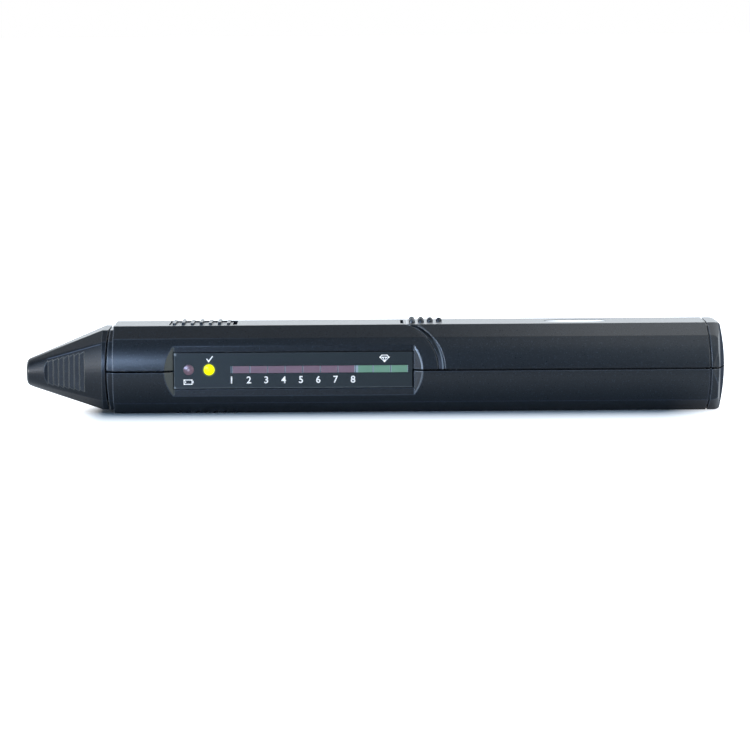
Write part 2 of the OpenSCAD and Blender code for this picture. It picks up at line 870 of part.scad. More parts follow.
module low_battery_led() {
    color("#7d5866") round_lamp(panel_x0 + low_lamp_x);
}

module ready_led() {
    color("yellow") round_lamp(panel_x0 + ready_lamp_x);
}

module red_bar_leds() {
    color("#7c5563") bar_lamps(0, red_lamps);
}

module green_bar_leds() {
    color("#5f9279") bar_lamps(red_lamps, green_lamps);
}

// The spacer that carries the bar of lamps on the board
module led_holder() {
    cheek = 1;
    color("#1b1d1f") {
        block(
            [bar_x0 - cheek - loose, board_y0 + loose, board_top_z],
            [bar_x1 + cheek + loose, lamp_back_y + leg_run - leg - loose, lamp_axis_z - bar_h / 2 - loose]
        );
        for (x = [bar_x0 - cheek - loose, bar_x1 + loose])
            block(
                [x, board_y0 + loose, board_top_z],
                [x + cheek, lamp_back_y - loose, lamp_axis_z + bar_h / 2]
            );
    }
}

module main_board() {
    color("darkgreen") difference() {
        block([board_x0, board_y0, board_z], [board_x1, board_y1, board_top_z]);
        for (p = board_posts)
            translate([p.x, p.y, board_z - past]) cylinder(r = board_screw_r + 0.3, h = board_t + 2 * past);
        translate([rear_screw_x, 0, board_z - past]) cylinder(r = post_r + 0.3, h = board_t + 2 * past);
    }
}

// A chip with its two rows of pins, standing on the board
module chip(place, pins) {
    chip_l = pins / 2 * pin_pitch;
    translate([board_x0 + place.x, place.y, board_top_z]) {
        block([-chip_l / 2, -chip_w / 2, chip_stand], [chip_l / 2, chip_w / 2, chip_stand + chip_t]);
        for (i = [0 : pins / 2 - 1])
            for (side = [-1, 1])
                translate([(i - (pins / 2 - 1) / 2) * pin_pitch, side * (chip_w / 2 + 0.1), 0])
                    block([-pin_w / 2, -0.3, 0], [pin_w / 2, 0.3, chip_stand + chip_t / 2]);
    }
}

// Places of the parts on the board: X from its front end, and the middle of each in Y
chip_w = 6.4;
chip_t = 3.4;
chip_stand = 0.6;
pin_w = 0.7;
pin_pitch = 2.54;
driver_pins = 18;
amplifier_pins = 8;
capacitor_r = 2.5;
capacitor_h = 6.6;
resistor_pitch = 2.4;
resistor_l = 3.6;
trim_pot_w = 6.6;
buzzer_r = 6;
buzzer_h = 8.4;
driver_place = [48, board_y1 - 4.4];
amplifier_place = [51, board_y0 + 10.4];
capacitor_places = [[30, board_y0 + 8.6], [33.4, board_y1 - 5], [65.4, board_y1 - 5]];
resistor_place = [34, board_y0 + 5.9];
trim_pot_place = [58.6, board_y0 + 10];
buzzer_place = [24.2, board_y1 - 7.4];

module display_driver_chip() {
    color("#1b1d1f") chip(driver_place, driver_pins);
}

module amplifier_chip() {
    color("#1b1d1f") chip(amplifier_place, amplifier_pins);
}

module capacitors() {
    color("midnightblue")
        for (p = capacitor_places)
            translate([board_x0 + p.x, p.y, board_top_z]) {
                cylinder(r = capacitor_r, h = capacitor_h, $fn = 48);
                translate([0, 0, capacitor_h - bond])
                    cylinder(r = capacitor_r - 0.3, h = 2 * bond, $fn = 48);
            }
}

module resistors() {
    color("tan")
        for (i = [0 : 4])
            translate([board_x0 + resistor_place.x + i * resistor_pitch, resistor_place.y, board_top_z]) {
                translate([0, 0, 1.1]) rotate([-90, 0, 0]) cylinder(r = 0.9, h = resistor_l, $fn = 32);
                translate([0, -1.2, 1.1]) rotate([-90, 0, 0])
                    cylinder(r = 0.25, h = resistor_l + 2.4, $fn = 16);
                for (y = [-1.2, resistor_l + 0.95])
                    translate([0, y, 0]) block([-0.25, 0, 0], [0.25, 0.25, 1.1]);
            }
}

module trim_pot() {
    color("royalblue") translate([board_x0 + trim_pot_place.x, trim_pot_place.y, board_top_z])
        difference() {
            block([-1.9, -trim_pot_w / 2, 0], [1.9, trim_pot_w / 2, 5.6]);
            translate([0, -trim_pot_w / 4, 5]) cylinder(r = 1.1, h = past, $fn = 32);
        }
}

module buzzer() {
    color("#1b1d1f") translate([board_x0 + buzzer_place.x, buzzer_place.y, board_top_z]) difference() {
        cylinder(r = buzzer_r, h = buzzer_h);
        translate([0, 0, buzzer_h - past]) cylinder(r = 0.2 * buzzer_r, h = 2 * past, $fn = 32);
    }
}

// The power switch: a metal housing on six pins, with a slot for the knob's stem
stem_l = 3;
stem_w = 3.2;
stem_x = (knob_x0 + knob_x1) / 2;
switch_top_z = case_h - wall - 3.6;
slot_d = 1.6;

module power_switch() {
    half_l = 5.5;
    housing_w = 6.4;
    housing_h = 5.4;
    color("silver") difference() {
        union() {
            block(
                [stem_x - half_l, -housing_w / 2, switch_top_z - housing_h],
                [stem_x + half_l, housing_w / 2, switch_top_z]
            );
            for (i = [-1, 0, 1])
                for (side = [-1, 1])
                    translate([stem_x + i * 3.2, side * 2.2, board_top_z])
                        block([-0.4, -0.25, 0], [0.4, 0.25, switch_top_z - housing_h - board_top_z + bond]);
        }
        block(
            [stem_x - stem_l / 2 - 0.4, -stem_w / 2 - 0.3, switch_top_z - slot_d],
            [stem_x + stem_l / 2 + knob_travel + 0.4, stem_w / 2 + 0.3, switch_top_z + past]
        );
    }
}

module switch_knob() {
    skirt = 1.3;
    skirt_t = 1;
    skirt_top_z = case_h - wall - 0.25;
    knob_top_z = case_h - 0.3;
    color("#24282c") {
        block(
            [knob_x0 - skirt - knob_gap, -knob_half_w - skirt, skirt_top_z - skirt_t],
            [knob_x1 + skirt, knob_half_w + skirt, skirt_top_z]
        );
        block([knob_x0, -knob_half_w, skirt_top_z - bond], [knob_x1, knob_half_w, knob_top_z]);
        for (i = [0 : rib_count - 1])
            block(
                [rib_x(i) - rib_w / 2, -knob_half_w + 0.4, knob_top_z - bond],
                [rib_x(i) + rib_w / 2, knob_half_w - 0.4, case_h + rib_h + (i % 2) * rib_extra]
            );
        block(
            [stem_x - stem_l / 2, -stem_w / 2, switch_top_z - slot_d + 0.4],
            [stem_x + stem_l / 2, stem_w / 2, skirt_top_z - bond]
        );
    }
}

// A pan head screw that points up, with a cross recess; its head sits under z = 0
module screw(shank_r, head_r, head_h, length) {
    difference() {
        union() {
            translate([0, 0, -head_h]) cylinder(r = head_r, h = head_h, $fn = 48);
            translate([0, 0, -bond]) cylinder(r = shank_r, h = length + bond, $fn = 48);
        }
        for (turn = [0, 90])
            rotate([0, 0, turn])
                block([-head_r * 0.6, -0.25, -head_h - past], [head_r * 0.6, 0.25, -head_h * 0.4]);
    }
}

module case_screws() {
    color("silver")
        for (p = case_posts)
            translate([p.x, p.y, counterbore_d])
                screw(screw_r, screw_head_r, screw_head_h, post_split_z - counterbore_d + thread_l);
}

module board_screws() {
    color("silver")
        for (p = board_posts)
            translate([p.x, p.y, board_top_z]) rotate([180, 0, 0])
                screw(board_screw_r - 0.05, 2 * board_screw_r, 1.3, board_screw_l);
}

// The probe: a plastic cone with a steel sleeve, and a sprung copper tip with its heater
cone_x = spigot_x - 0.1;
cone_front_x = cone_x - cone_l;
cone_tip_r = sleeve_r + 0.8;
flange_x = spigot_x + front_wall + loose;
sleeve_front_x = cone_front_x - sleeve_l;
tip_x = sleeve_front_x - tip_rest - tip_travel;
sleeve_x1 = cone_x - 2.2;
chamber_x = cone_x - 1.6;
housing_inset = 11.9;
housing_x1 = body_x + housing_inset;
collar_t = 1.5;
heater_l = 4;
plug_l = 2;
tip_collar_x = chamber_x + loose;
heater_x = tip_collar_x + collar_t;
spring_x0 = heater_x + heater_l + loose;
spring_x1 = housing_x1 - plug_l - loose;

module probe_housing() {
    color("#d8d4c8") translate([0, 0, probe_z]) difference() {
        union() {
            translate([cone_front_x, 0, 0]) rotate([0, 90, 0])
                cylinder(r1 = cone_tip_r, r2 = cone_r, h = cone_l);
            rod_x(cone_x - bond, housing_x1, housing_r);
            rod_x(flange_x, flange_x + 1, housing_r + 1.2);
        }
        rod_x(cone_front_x - past, chamber_x + past, sleeve_r);
        rod_x(chamber_x, housing_x1 + past, chamber_r);
    }
}

module probe_sleeve() {
    color("silver") translate([0, 0, probe_z]) difference() {
        rod_x(sleeve_front_x, sleeve_x1, sleeve_r - 0.01);
        rod_x(sleeve_front_x - past, sleeve_x1 + past, tip_r + tip_clearance);
    }
}

module probe_tip() {
    color("peru") translate([0, 0, probe_z]) {
        translate([tip_x, 0, 0]) rotate([0, 90, 0]) cylinder(r1 = tip_r * 0.6, r2 = tip_r, h = tip_r);
        rod_x(tip_x + tip_r, tip_collar_x + bond, tip_r);
        rod_x(tip_collar_x, heater_x, chamber_r - 0.08);
    }
}

module tip_heater() {
    color("white") translate([0, 0, probe_z]) rod_x(heater_x, heater_x + heater_l, chamber_r - 0.7);
}

// A closed tube along a helix around X: ring j, corner k
function spring_point(j, k, per_turn, r, pitch, sides) =
    let (turn = 360 * j / per_turn, around = 360 * k / sides, reach = r + spring_wire / 2 * cos(around))
    [pitch * j / per_turn + spring_wire / 2 * sin(around), reach * cos(turn), reach * sin(turn)];

module probe_spring() {
    sides = 6;
    per_turn = 16;
    rings = spring_turns * per_turn + 1;
    r = chamber_r - 0.2 - spring_wire / 2;
    length = spring_x1 - spring_x0 - spring_wire;
    pitch = length / spring_turns;
    color("silver") translate([spring_x0 + spring_wire / 2, 0, probe_z]) polyhedron(
        points = [
            for (j = [0 : rings - 1])
                for (k = [0 : sides - 1]) spring_point(j, k, per_turn, r, pitch, sides)
        ],
        faces = concat(
            [[for (k = [0 : sides - 1]) sides - 1 - k]],
            [for (j = [0 : rings - 2])
                for (k = [0 : sides - 1])
                    let (a = j * sides + k, b = j * sides + (k + 1) % sides)
                    each [[a, b, b + sides], [a, b + sides, a + sides]]],
            [[for (k = [0 : sides - 1]) (rings - 1) * sides + k]]
        )
    );
}

module housing_plug() {
    color("#1b1d1f") translate([0, 0, probe_z]) {
        rod_x(housing_x1 - plug_l, housing_x1 + bond, chamber_r - 0.02);
        rod_x(housing_x1, housing_x1 + 0.8, chamber_r + 0.8);
    }
}

// A lead of round wire through a row of points
module lead(points, r) {
    for (i = [0 : len(points) - 2]) {
        run = points[i + 1] - points[i];
        flat = norm([run.x, run.y]);
        translate(points[i]) rotate([0, atan2(flat, run.z), atan2(run.y, run.x)])
            cylinder(r = r, h = norm(run), $fn = 16);
        if (i > 0)
            translate(points[i]) sphere(r = r + 0.04, $fn = 32);
    }
}

module probe_leads() {
    wire_r = 0.4;
    color("ivory")
        for (side = [-1, 1])
            lead([
                [housing_x1 + 0.8, side * 1.2, probe_z + 0.6],
                [board_x0 + 1.4, side * 1.2, probe_z + 0.6],
                [board_x0 + 1.4, side * 1.2, board_top_z]
            ], wire_r);
}

// The nine volt battery lies on its broad side with its two snaps to the front
terminal_y = 6.35;

module battery() {
    color("slategray") {
        along_x(battery_x0, battery_x1) union() {
            square([battery_w - 2 * battery_r, battery_h], center = true);
            square([battery_w, battery_h - 2 * battery_r], center = true);
            for (y = [-1, 1])
                for (z = [-1, 1])
                    translate([y * (battery_w / 2 - battery_r), z * (battery_h / 2 - battery_r)])
                        circle(r = battery_r, $fn = 32);
        }
        translate([0, -terminal_y, mid_z]) rod_x(battery_x0 - terminal_h, battery_x0 + bond, 2.8);
        translate([0, terminal_y, mid_z]) rod_x(battery_x0 - terminal_h, battery_x0 + bond, 3.9);
    }
}

// The snap on the battery: a plate with two sockets over the terminals
snap_t = 3.2;
wire_rise = 2.6;
snap_x1 = battery_x0 - 0.3;
snap_x0 = snap_x1 - snap_t;

module battery_snap() {
    snap_w = battery_w - 1.6;
    snap_h = 11;
    color("#1b1d1f") difference() {
        block([snap_x0, -snap_w / 2, mid_z - snap_h / 2], [snap_x1, snap_w / 2, mid_z + snap_h / 2]);
        translate([0, -terminal_y, mid_z]) rod_x(snap_x1 - terminal_h - 0.1, snap_x1 + past, 2.85);
        translate([0, terminal_y, mid_z]) rod_x(snap_x1 - terminal_h - 0.1, snap_x1 + past, 3.95);
    }
}

module battery_leads() {
    wire_r = 0.7;
    solder_x = board_x1 - 1.8;
    wire_z = board_top_z + wire_rise;
    for (side = [-1, 1])
        color(side < 0 ? "black" : "red")
            lead([
                [snap_x0, side * 1.6, wire_z],
                [solder_x, side * 1.6, wire_z],
                [solder_x, side * 1.6, board_top_z]
            ], wire_r);
}

lower_shell();
upper_shell();
display_panel();
low_battery_led();
ready_led();
red_bar_leds();
green_bar_leds();
led_holder();
main_board();
display_driver_chip();
amplifier_chip();
capacitors();
resistors();
trim_pot();
buzzer();
power_switch();
switch_knob();
board_screws();
case_screws();
probe_housing();
probe_sleeve();
probe_tip();
tip_heater();
probe_spring();
housing_plug();
probe_leads();
nose_cap();
battery_lid();
oval_badge();
lid_foam();
battery();
battery_snap();
battery_leads();
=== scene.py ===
import math

import bmesh
import bpy
from mathutils import Matrix, Vector


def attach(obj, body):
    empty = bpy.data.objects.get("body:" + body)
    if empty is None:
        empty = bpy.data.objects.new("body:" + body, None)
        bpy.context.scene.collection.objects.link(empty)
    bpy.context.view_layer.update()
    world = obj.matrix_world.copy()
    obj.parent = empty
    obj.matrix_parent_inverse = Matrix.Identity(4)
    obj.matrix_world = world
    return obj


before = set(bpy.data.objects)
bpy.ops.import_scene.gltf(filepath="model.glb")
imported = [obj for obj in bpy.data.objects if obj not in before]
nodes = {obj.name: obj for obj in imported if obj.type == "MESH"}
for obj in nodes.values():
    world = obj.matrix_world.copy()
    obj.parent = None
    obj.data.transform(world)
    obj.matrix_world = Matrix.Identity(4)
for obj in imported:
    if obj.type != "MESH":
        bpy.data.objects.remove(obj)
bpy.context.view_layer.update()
scene = bpy.context.scene
scene.view_settings.view_transform = "Standard"

MM = 0.001


# ---------------------------------------------------------------- node trees


class Shader:
    """A material's node tree, built with short calls. Places are in millimetres."""

    def __init__(self, name):
        self.material = bpy.data.materials.new(name)
        self.material.use_nodes = True
        self.tree = self.material.node_tree
        self.tree.nodes.clear()
        self.out = self.tree.nodes.new("ShaderNodeOutputMaterial")
        self.bsdf = self.tree.nodes.new("ShaderNodeBsdfPrincipled")
        self.link(self.bsdf.outputs[0], self.out.inputs["Surface"])
        coordinates = self.tree.nodes.new("ShaderNodeTexCoord")
        scale = self.tree.nodes.new("ShaderNodeVectorMath")
        scale.operation = "SCALE"
        scale.inputs["Scale"].default_value = 1 / MM
        self.link(coordinates.outputs["Object"], scale.inputs[0])
        self.place = scale.outputs[0]
        split = self.tree.nodes.new("ShaderNodeSeparateXYZ")
        self.link(self.place, split.inputs[0])
        self.x, self.y, self.z = split.outputs
        facing = self.tree.nodes.new("ShaderNodeSeparateXYZ")
        self.link(coordinates.outputs["Normal"], facing.inputs[0])
        self.nx, _, self.nz = facing.outputs

    def link(self, source, target):
        self.tree.links.new(source, target)

    def put(self, value, target):
        """A socket is linked, and a number or a colour is written."""
        if isinstance(value, bpy.types.NodeSocket):
            self.link(value, target)
        else:
            target.default_value = value

    def math(self, operation, a, b=None):
        node = self.tree.nodes.new("ShaderNodeMath")
        node.operation = operation
        self.put(a, node.inputs[0])
        if b is not None:
            self.put(b, node.inputs[1])
        return node.outputs[0]

    def noise(self, size, detail=2.0, rough=0.5, stretch=None):
        """Noise with features of about this size, from 0 to 1."""
        node = self.tree.nodes.new("ShaderNodeTexNoise")
        node.inputs["Scale"].default_value = 1 / size
        node.inputs["Detail"].default_value = detail
        node.inputs["Roughness"].default_value = rough
        self.link(self.stretched(stretch), node.inputs["Vector"])
        return node.outputs["Fac"]

    def cells(self, size):
        """The distance from the middle of the nearest cell, in cells of about this size."""
        node = self.tree.nodes.new("ShaderNodeTexVoronoi")
        node.inputs["Scale"].default_value = 1 / size
        self.link(self.place, node.inputs["Vector"])
        return node.outputs["Distance"]

    def stretched(self, stretch):
        if stretch is None:
            return self.place
        node = self.tree.nodes.new("ShaderNodeVectorMath")
        node.operation = "MULTIPLY"
        self.link(self.place, node.inputs[0])
        node.inputs[1].default_value = stretch
        return node.outputs[0]

    def span(self, value, low, high, out_low=0.0, out_high=1.0, smooth=False):
        """A value taken from one range to another, and held at its ends."""
        node = self.tree.nodes.new("ShaderNodeMapRange")
        node.interpolation_type = "SMOOTHSTEP" if smooth else "LINEAR"
        self.put(value, node.inputs["Value"])
        for socket, number in zip(
            ("From Min", "From Max", "To Min", "To Max"), (low, high, out_low, out_high)
        ):
            node.inputs[socket].default_value = number
        return node.outputs["Result"]

    def between(self, value, low, high, soft=0.02):
        """1 from low to high and 0 outside, with soft limits."""
        rise = self.span(value, low - soft, low + soft)
        fall = self.span(value, high - soft, high + soft, 1.0, 0.0)
        return self.math("MULTIPLY", rise, fall)

    def radius(self, a, a0, b, b0):
        """Distance from an axis that goes through (a0, b0)."""
        da = self.math("SUBTRACT", a, a0)
        db = self.math("SUBTRACT", b, b0)
        squares = self.math("ADD", self.times(da, da), self.times(db, db))
        return self.math("SQRT", squares)

    def times(self, a, b):
        return self.math("MULTIPLY", a, b)

    def mix(self, factor, a, b):
        node = self.tree.nodes.new("ShaderNodeMix")
        node.data_type = "RGBA"
        self.put(factor, node.inputs["Factor"])
        self.put(rgba(a), node.inputs[6])
        self.put(rgba(b), node.inputs[7])
        return node.outputs[2]

    def worn_edge(self, radius):
        """1 on sharp edges and 0 on flat faces, the rounded normal, and 1 on every crease."""
        bevel = self.tree.nodes.new("ShaderNodeBevel")
        bevel.samples = 6
        bevel.inputs["Radius"].default_value = radius * MM
        geometry = self.tree.nodes.new("ShaderNodeNewGeometry")
        dot = self.tree.nodes.new("ShaderNodeVectorMath")
        dot.operation = "DOT_PRODUCT"
        self.link(bevel.outputs[0], dot.inputs[0])
        self.link(geometry.outputs["Normal"], dot.inputs[1])
        worn = self.span(dot.outputs["Value"], 0.97, 0.86)
        return worn, bevel.outputs[0], self.span(dot.outputs["Value"], 0.9993, 0.985)

    def bump(self, height, strength, depth, normal=None):
        node = self.tree.nodes.new("ShaderNodeBump")
        node.inputs["Strength"].default_value = strength
        node.inputs["Distance"].default_value = depth * MM
        self.put(height, node.inputs["Height"])
        if normal is not None:
            self.link(normal, node.inputs["Normal"])
        return node.outputs[0]

    def finish(self, **sockets):
        """Writes or links the shader's own sockets, whose names have _ for a blank here."""
        for name, value in sockets.items():
            self.put(rgba(value), self.bsdf.inputs[name.replace("_", " ")])
        return self.material


def rgba(value):
    if isinstance(value, tuple) and len(value) == 3:
        return (*value, 1.0)
    return value


# ---------------------------------------------------------------- materials


# The case, the cap and the knob are of one plastic
CASE_DARK = (0.0075, 0.0115, 0.0175)
CASE_LIGHT = (0.0095, 0.0145, 0.0215)
SPECK_COLOUR = tuple(3.0 * c for c in CASE_LIGHT)
GRAIN_SIZE = 0.38
GRAIN_DEPTH = 0.022
SPECK_SIZE = 0.30


def moulded(name, roughness, edge, rim, rim_share, front_highlight, crease_paint, painted_marks=None, gloss=0.36):
    """Moulded plastic with an eroded grain, pale specks and polished edges.

    The rim colour is that of edges: their wear with a painted highlight. The front colour is a
    painted highlight on creases that face the probe. The two functions paint highlights and
    shade on the long creases and on local places. The gloss is a number or a function.
    """
    s = Shader(name)
    worn, normal, crease = s.worn_edge(edge)
    cloud = s.noise(14.0, 3.0)
    fine = s.noise(GRAIN_SIZE, 2.0, 0.6)
    speck = s.span(s.noise(SPECK_SIZE, 1.0, 0.5), 0.60, 0.74)
    colour = s.mix(cloud, CASE_DARK, CASE_LIGHT)
    colour = s.mix(s.times(speck, 0.8), colour, SPECK_COLOUR)
    # Creases carry painted highlight and shade, edges their wear and a painted highlight, and
    # creases that face the probe a painted highlight
    colour = s.mix(s.times(crease, 0.7), colour, crease_paint(s))
    rounded = s.tree.nodes.new("ShaderNodeSeparateXYZ")
    s.link(normal, rounded.inputs[0])
    forward_highlight = s.times(crease, s.span(rounded.outputs[0], -0.08, -0.3))
    colour = s.mix(s.times(worn, rim_share), colour, rim)
    colour = s.mix(s.times(forward_highlight, 0.75), colour, front_highlight)
    if painted_marks is not None:
        colour = painted_marks(s, colour)
    rough = s.math("ADD", s.span(fine, 0.3, 0.7, roughness - 0.04, roughness + 0.05),
                   s.times(worn, -0.06))
    return s.finish(Base_Color=colour, Roughness=rough,
                    Normal=s.bump(fine, 0.5, GRAIN_DEPTH, normal), IOR=1.5,
                    Specular_IOR_Level=gloss(s) if callable(gloss) else gloss)


SCRATCH_SIZE = 0.12
TINNED = (0.62, 0.62, 0.60)


def metal(name, colour, dull, roughness, scratch=(1, 1, 1), size=1.2):
    """Metal with fine scratches and a dull film in patches."""
    s = Shader(name)
    _, normal, _ = s.worn_edge(0.08)
    film = s.span(s.noise(size, 4.0), 0.35, 0.7)
    scratches = s.noise(SCRATCH_SIZE, 2.0, 0.6, scratch)
    rough = s.math("ADD", s.span(scratches, 0.3, 0.7, roughness - 0.05, roughness + 0.08),
                   s.times(film, 0.08))
    return s.finish(Base_Color=s.mix(film, colour, dull), Metallic=1.0, Roughness=rough,
                    Normal=s.bump(scratches, 0.3, 0.006, normal))


def plain_plastic(name, colour, roughness, grain=0.2):
    """Moulded plastic of a piece inside, a little paler on its edges."""
    s = Shader(name)
    worn, normal, _ = s.worn_edge(0.12)
    fine = s.noise(grain, 2.0, 0.6)
    cloud = s.noise(3.0, 2.0)
    light = tuple(min(1.0, 1.25 * c + 0.004) for c in colour)
    edge = tuple(min(1.0, 1.8 * c + 0.01) for c in colour)
    base = s.mix(s.times(worn, 0.4), s.mix(cloud, colour, light), edge)
    return s.finish(Base_Color=base, IOR=1.5,
                    Roughness=s.span(fine, 0.3, 0.7, roughness - 0.05, roughness + 0.05),
                    Normal=s.bump(fine, 0.35, 0.01, normal))


# The parting line of the case, and the circle of its round sides
MID_Z = 12.7
SIDE_R = 18.112
SIDE_CY = -0.812
# The arc of the lid's front edge
LID_CX = 5.517
LID_CZ = 13.3
LID_R = 12.508
# The end walls of the panel recess, and how high they reach
REAR_WALL_X = (11.3, 14.2)
FRONT_WALL_X = (-61.3, -58.0)
RECESS_Z = (4.5, 20.9)
# The start of the rear end's dome
DOME_X = 99.25
# The ridge of the cap's upper facets, which rises to the rear
RIDGE_X = (-95.5, -79.4)
RIDGE_X0 = -94.1
RIDGE_Z0 = 16.1
RIDGE_SLOPE = 0.3026

# Painted highlight and painted shade on the long creases
CREASE_HIGHLIGHT = (0.075, 0.095, 0.135)
CREASE_SHADE = (0.005, 0.007, 0.010)
# Painted highlight on the rim of the recess's rear wall
RIM_HIGHLIGHT = (0.50, 0.54, 0.60)


def case_crease_paint(s):
    """The long creases carry a painted highlight; on the upper half it turns to painted shade
    towards the rear of the case.
    """
    fade = s.times(s.span(s.x, -62.0, -20.0), s.math("GREATER_THAN", s.z, MID_Z))
    return s.mix(fade, CREASE_HIGHLIGHT, CREASE_SHADE)


def case_painted_marks(s, colour):
    """Painted highlights on the lid's step and on the rim of the recess's rear wall, a painted lit
    tone on the recess's front wall, and the matt rear end.
    """
    sweep = s.math("SUBTRACT", s.radius(s.x, LID_CX, s.z, LID_CZ), LID_R)
    lid = s.times(s.math("GREATER_THAN", s.x, LID_CX + 2.0), s.span(s.z, MID_Z + 0.2, MID_Z + 0.3))
    # A painted sheen on the sunk band in front of the lid's step, and a painted highlight on the
    # step's edge
    highlight_band = s.times(s.between(sweep, 0.35, 1.25, 0.1), s.span(s.z, 14.0, 19.0, 0.6, 0.0, True))
    colour = s.mix(s.times(highlight_band, lid), colour, (0.10, 0.11, 0.15))
    edge = s.times(s.between(sweep, 1.20, 1.60, 0.1), s.span(s.z, 14.5, 23.0, 0.85, 0.1275, True))
    colour = s.mix(s.times(edge, lid), colour, (0.42, 0.46, 0.52))

    # A painted highlight on the rim of the recess's rear wall, strongest on its upper half, and a
    # painted lit olive tone on its front wall
    depth = s.math("SUBTRACT", SIDE_R, s.radius(s.math("ABSOLUTE", s.y), SIDE_CY, s.z, MID_Z))
    recess = s.times(s.math("LESS_THAN", s.y, 0.0), s.between(s.z, *RECESS_Z))
    rear_wall_highlight = s.times(s.between(depth, 0.06, 0.27, 0.04), s.between(s.x, *REAR_WALL_X))
    rear_wall_highlight = s.times(s.times(rear_wall_highlight, recess), s.span(s.z, MID_Z - 0.2, MID_Z + 0.2, 0.30, 0.95))
    colour = s.mix(rear_wall_highlight, colour, RIM_HIGHLIGHT)
    front_wall_light = s.times(s.between(depth, 0.10, 1.60, 0.03), s.between(s.x, *FRONT_WALL_X))
    colour = s.mix(s.times(front_wall_light, recess), colour, (0.058, 0.064, 0.057))
    return s.mix(s.span(s.x, DOME_X, DOME_X + 0.55, 0.0, 0.8), colour, (0.060, 0.066, 0.084))


def case_gloss(s):
    """The dome of the rear end is matt."""
    return s.span(s.x, DOME_X, DOME_X + 0.4, 0.36, 0.0)


def cap_crease_highlight(s):
    """The creases of the cap carry the same painted highlight all over."""
    return (0.085, 0.105, 0.150)


def cap_ridge_highlight(s, colour):
    """The upper facets of the cap end in a fine ridge, which carries a painted highlight."""
    ridge = s.math("ADD", s.times(s.math("SUBTRACT", s.x, RIDGE_X0), RIDGE_SLOPE), RIDGE_Z0)
    off = s.math("ABSOLUTE", s.math("SUBTRACT", s.z, ridge))
    share = s.times(s.span(off, 0.05, 0.20, 0.8, 0.0), s.between(s.x, *RIDGE_X, 0.6))
    return s.mix(share, colour, (0.13, 0.16, 0.22))


# Rim and front colours are painted highlights on edges: bluish on the case, where the rim is also
# wear, and olive on the cap and knob
case_plastic = moulded("case_plastic", 0.31, 0.4, (0.036, 0.044, 0.056), 0.6,
                       (0.26, 0.28, 0.32), case_crease_paint, case_painted_marks, case_gloss)
cap_plastic = moulded("cap_plastic", 0.31, 0.3, (0.10, 0.098, 0.082), 0.8,
                      (0.12, 0.12, 0.10), cap_crease_highlight, cap_ridge_highlight, 0.26)
knob_plastic = moulded("knob_plastic", 0.34, 0.15, (0.17, 0.17, 0.11), 0.8,
                       (0.26, 0.26, 0.19), cap_crease_highlight)

# The bar of ten lamps, and the two round ones
BAR_X0 = -41.375
BAR_PITCH = 5.08
RED_LAMPS = 7
LAMP_Z = 13.1
LOW_LAMP_X = -53.975
READY_LAMP_X = -48.075
LAMP_R = 1.5
FACE_Y = -16.0
# The panel's face: from its front edge to the painted shade at its rear end, and its height
PANEL_X = (-58.3, 10.5)
PANEL_Z = (7.6, 17.6)


def panel_material():
    """Smooth dark plastic with painted highlights on its edges and corners, painted shade at its
    rear end, and the glow of the lit lamp.
    """
    s = Shader("panel_plastic")
    worn, normal, _ = s.worn_edge(0.14)
    fine = s.noise(0.12, 2.0, 0.6)
    base = s.mix(s.noise(9.0, 3.0), (0.028, 0.037, 0.043), (0.033, 0.043, 0.049))
    # Edges are paler by wear and a painted highlight
    base = s.mix(s.times(worn, 0.6), base, (0.16, 0.17, 0.18))
    # The lower and front edges carry a painted highlight, strongest at the corners, which carry
    # painted glints
    x0, x1 = PANEL_X
    z0, z1 = PANEL_Z
    edge_highlight = s.math("MAXIMUM", s.between(s.z, z0, z0 + 0.35, 0.06),
                 s.between(s.x, x0, x0 + 0.37, 0.06))
    edge_highlight = s.times(edge_highlight, s.span(s.noise(1.6, 2.0), 0.3, 0.6, 0.35, 0.9))
    base = s.mix(edge_highlight, base, (0.13, 0.145, 0.155))
    low_corner_glint = s.span(s.radius(s.x, x0 + 0.3, s.z, z0 + 0.3), 0.1, 0.5, 0.9, 0.0)
    top_corner_glint = s.span(s.radius(s.x, x0 + 0.4, s.z, z1), 0.1, 0.6, 0.8, 0.0)
    base = s.mix(s.math("MAXIMUM", low_corner_glint, top_corner_glint), base, (0.55, 0.58, 0.62))
    # A pale strip beside the first lamp is a painted glint
    strip = s.times(s.between(s.x, BAR_X0 - 0.575, BAR_X0 + 0.075),
                    s.between(s.z, LAMP_Z - 1.0, LAMP_Z + 1.0))
    base = s.mix(strip, base, (0.15, 0.18, 0.22))
    # Painted shade darkens the rear end, most of all its lower half, where the reflection is also
    # taken away
    rear_shade = s.times(s.span(s.x, x1, x1 + 0.15), s.span(s.z, MID_Z - 0.1, MID_Z + 0.3, 1.0, 0.45))
    base = s.mix(rear_shade, base, (0.003, 0.004, 0.005))
    # The lit lamp spills a little light on the rim of its hole
    spill = s.span(s.radius(s.x, READY_LAMP_X, s.z, LAMP_Z), LAMP_R + 0.05, LAMP_R + 0.75,
                   1.0, 0.0, True)
    glow = s.times(s.times(spill, spill), s.math("LESS_THAN", s.y, FACE_Y + 0.3))
    return s.finish(Base_Color=base, Roughness=s.span(fine, 0.3, 0.7, 0.30, 0.36), IOR=1.5,
                    Normal=s.bump(fine, 0.3, 0.006, normal),
                    Specular_IOR_Level=s.span(rear_shade, 0.0, 1.0, 0.3, 0.0),
                    Emission_Color=(0.55, 0.75, 0.0), Emission_Strength=s.times(glow, 0.30))


panel_plastic = panel_material()

# Behind the lens each lamp has its tinned legs
ROUND_LENS_T = 4.7
BAR_LENS_T = 4.9
LEG_COLOUR = (0.60, 0.61, 0.60)


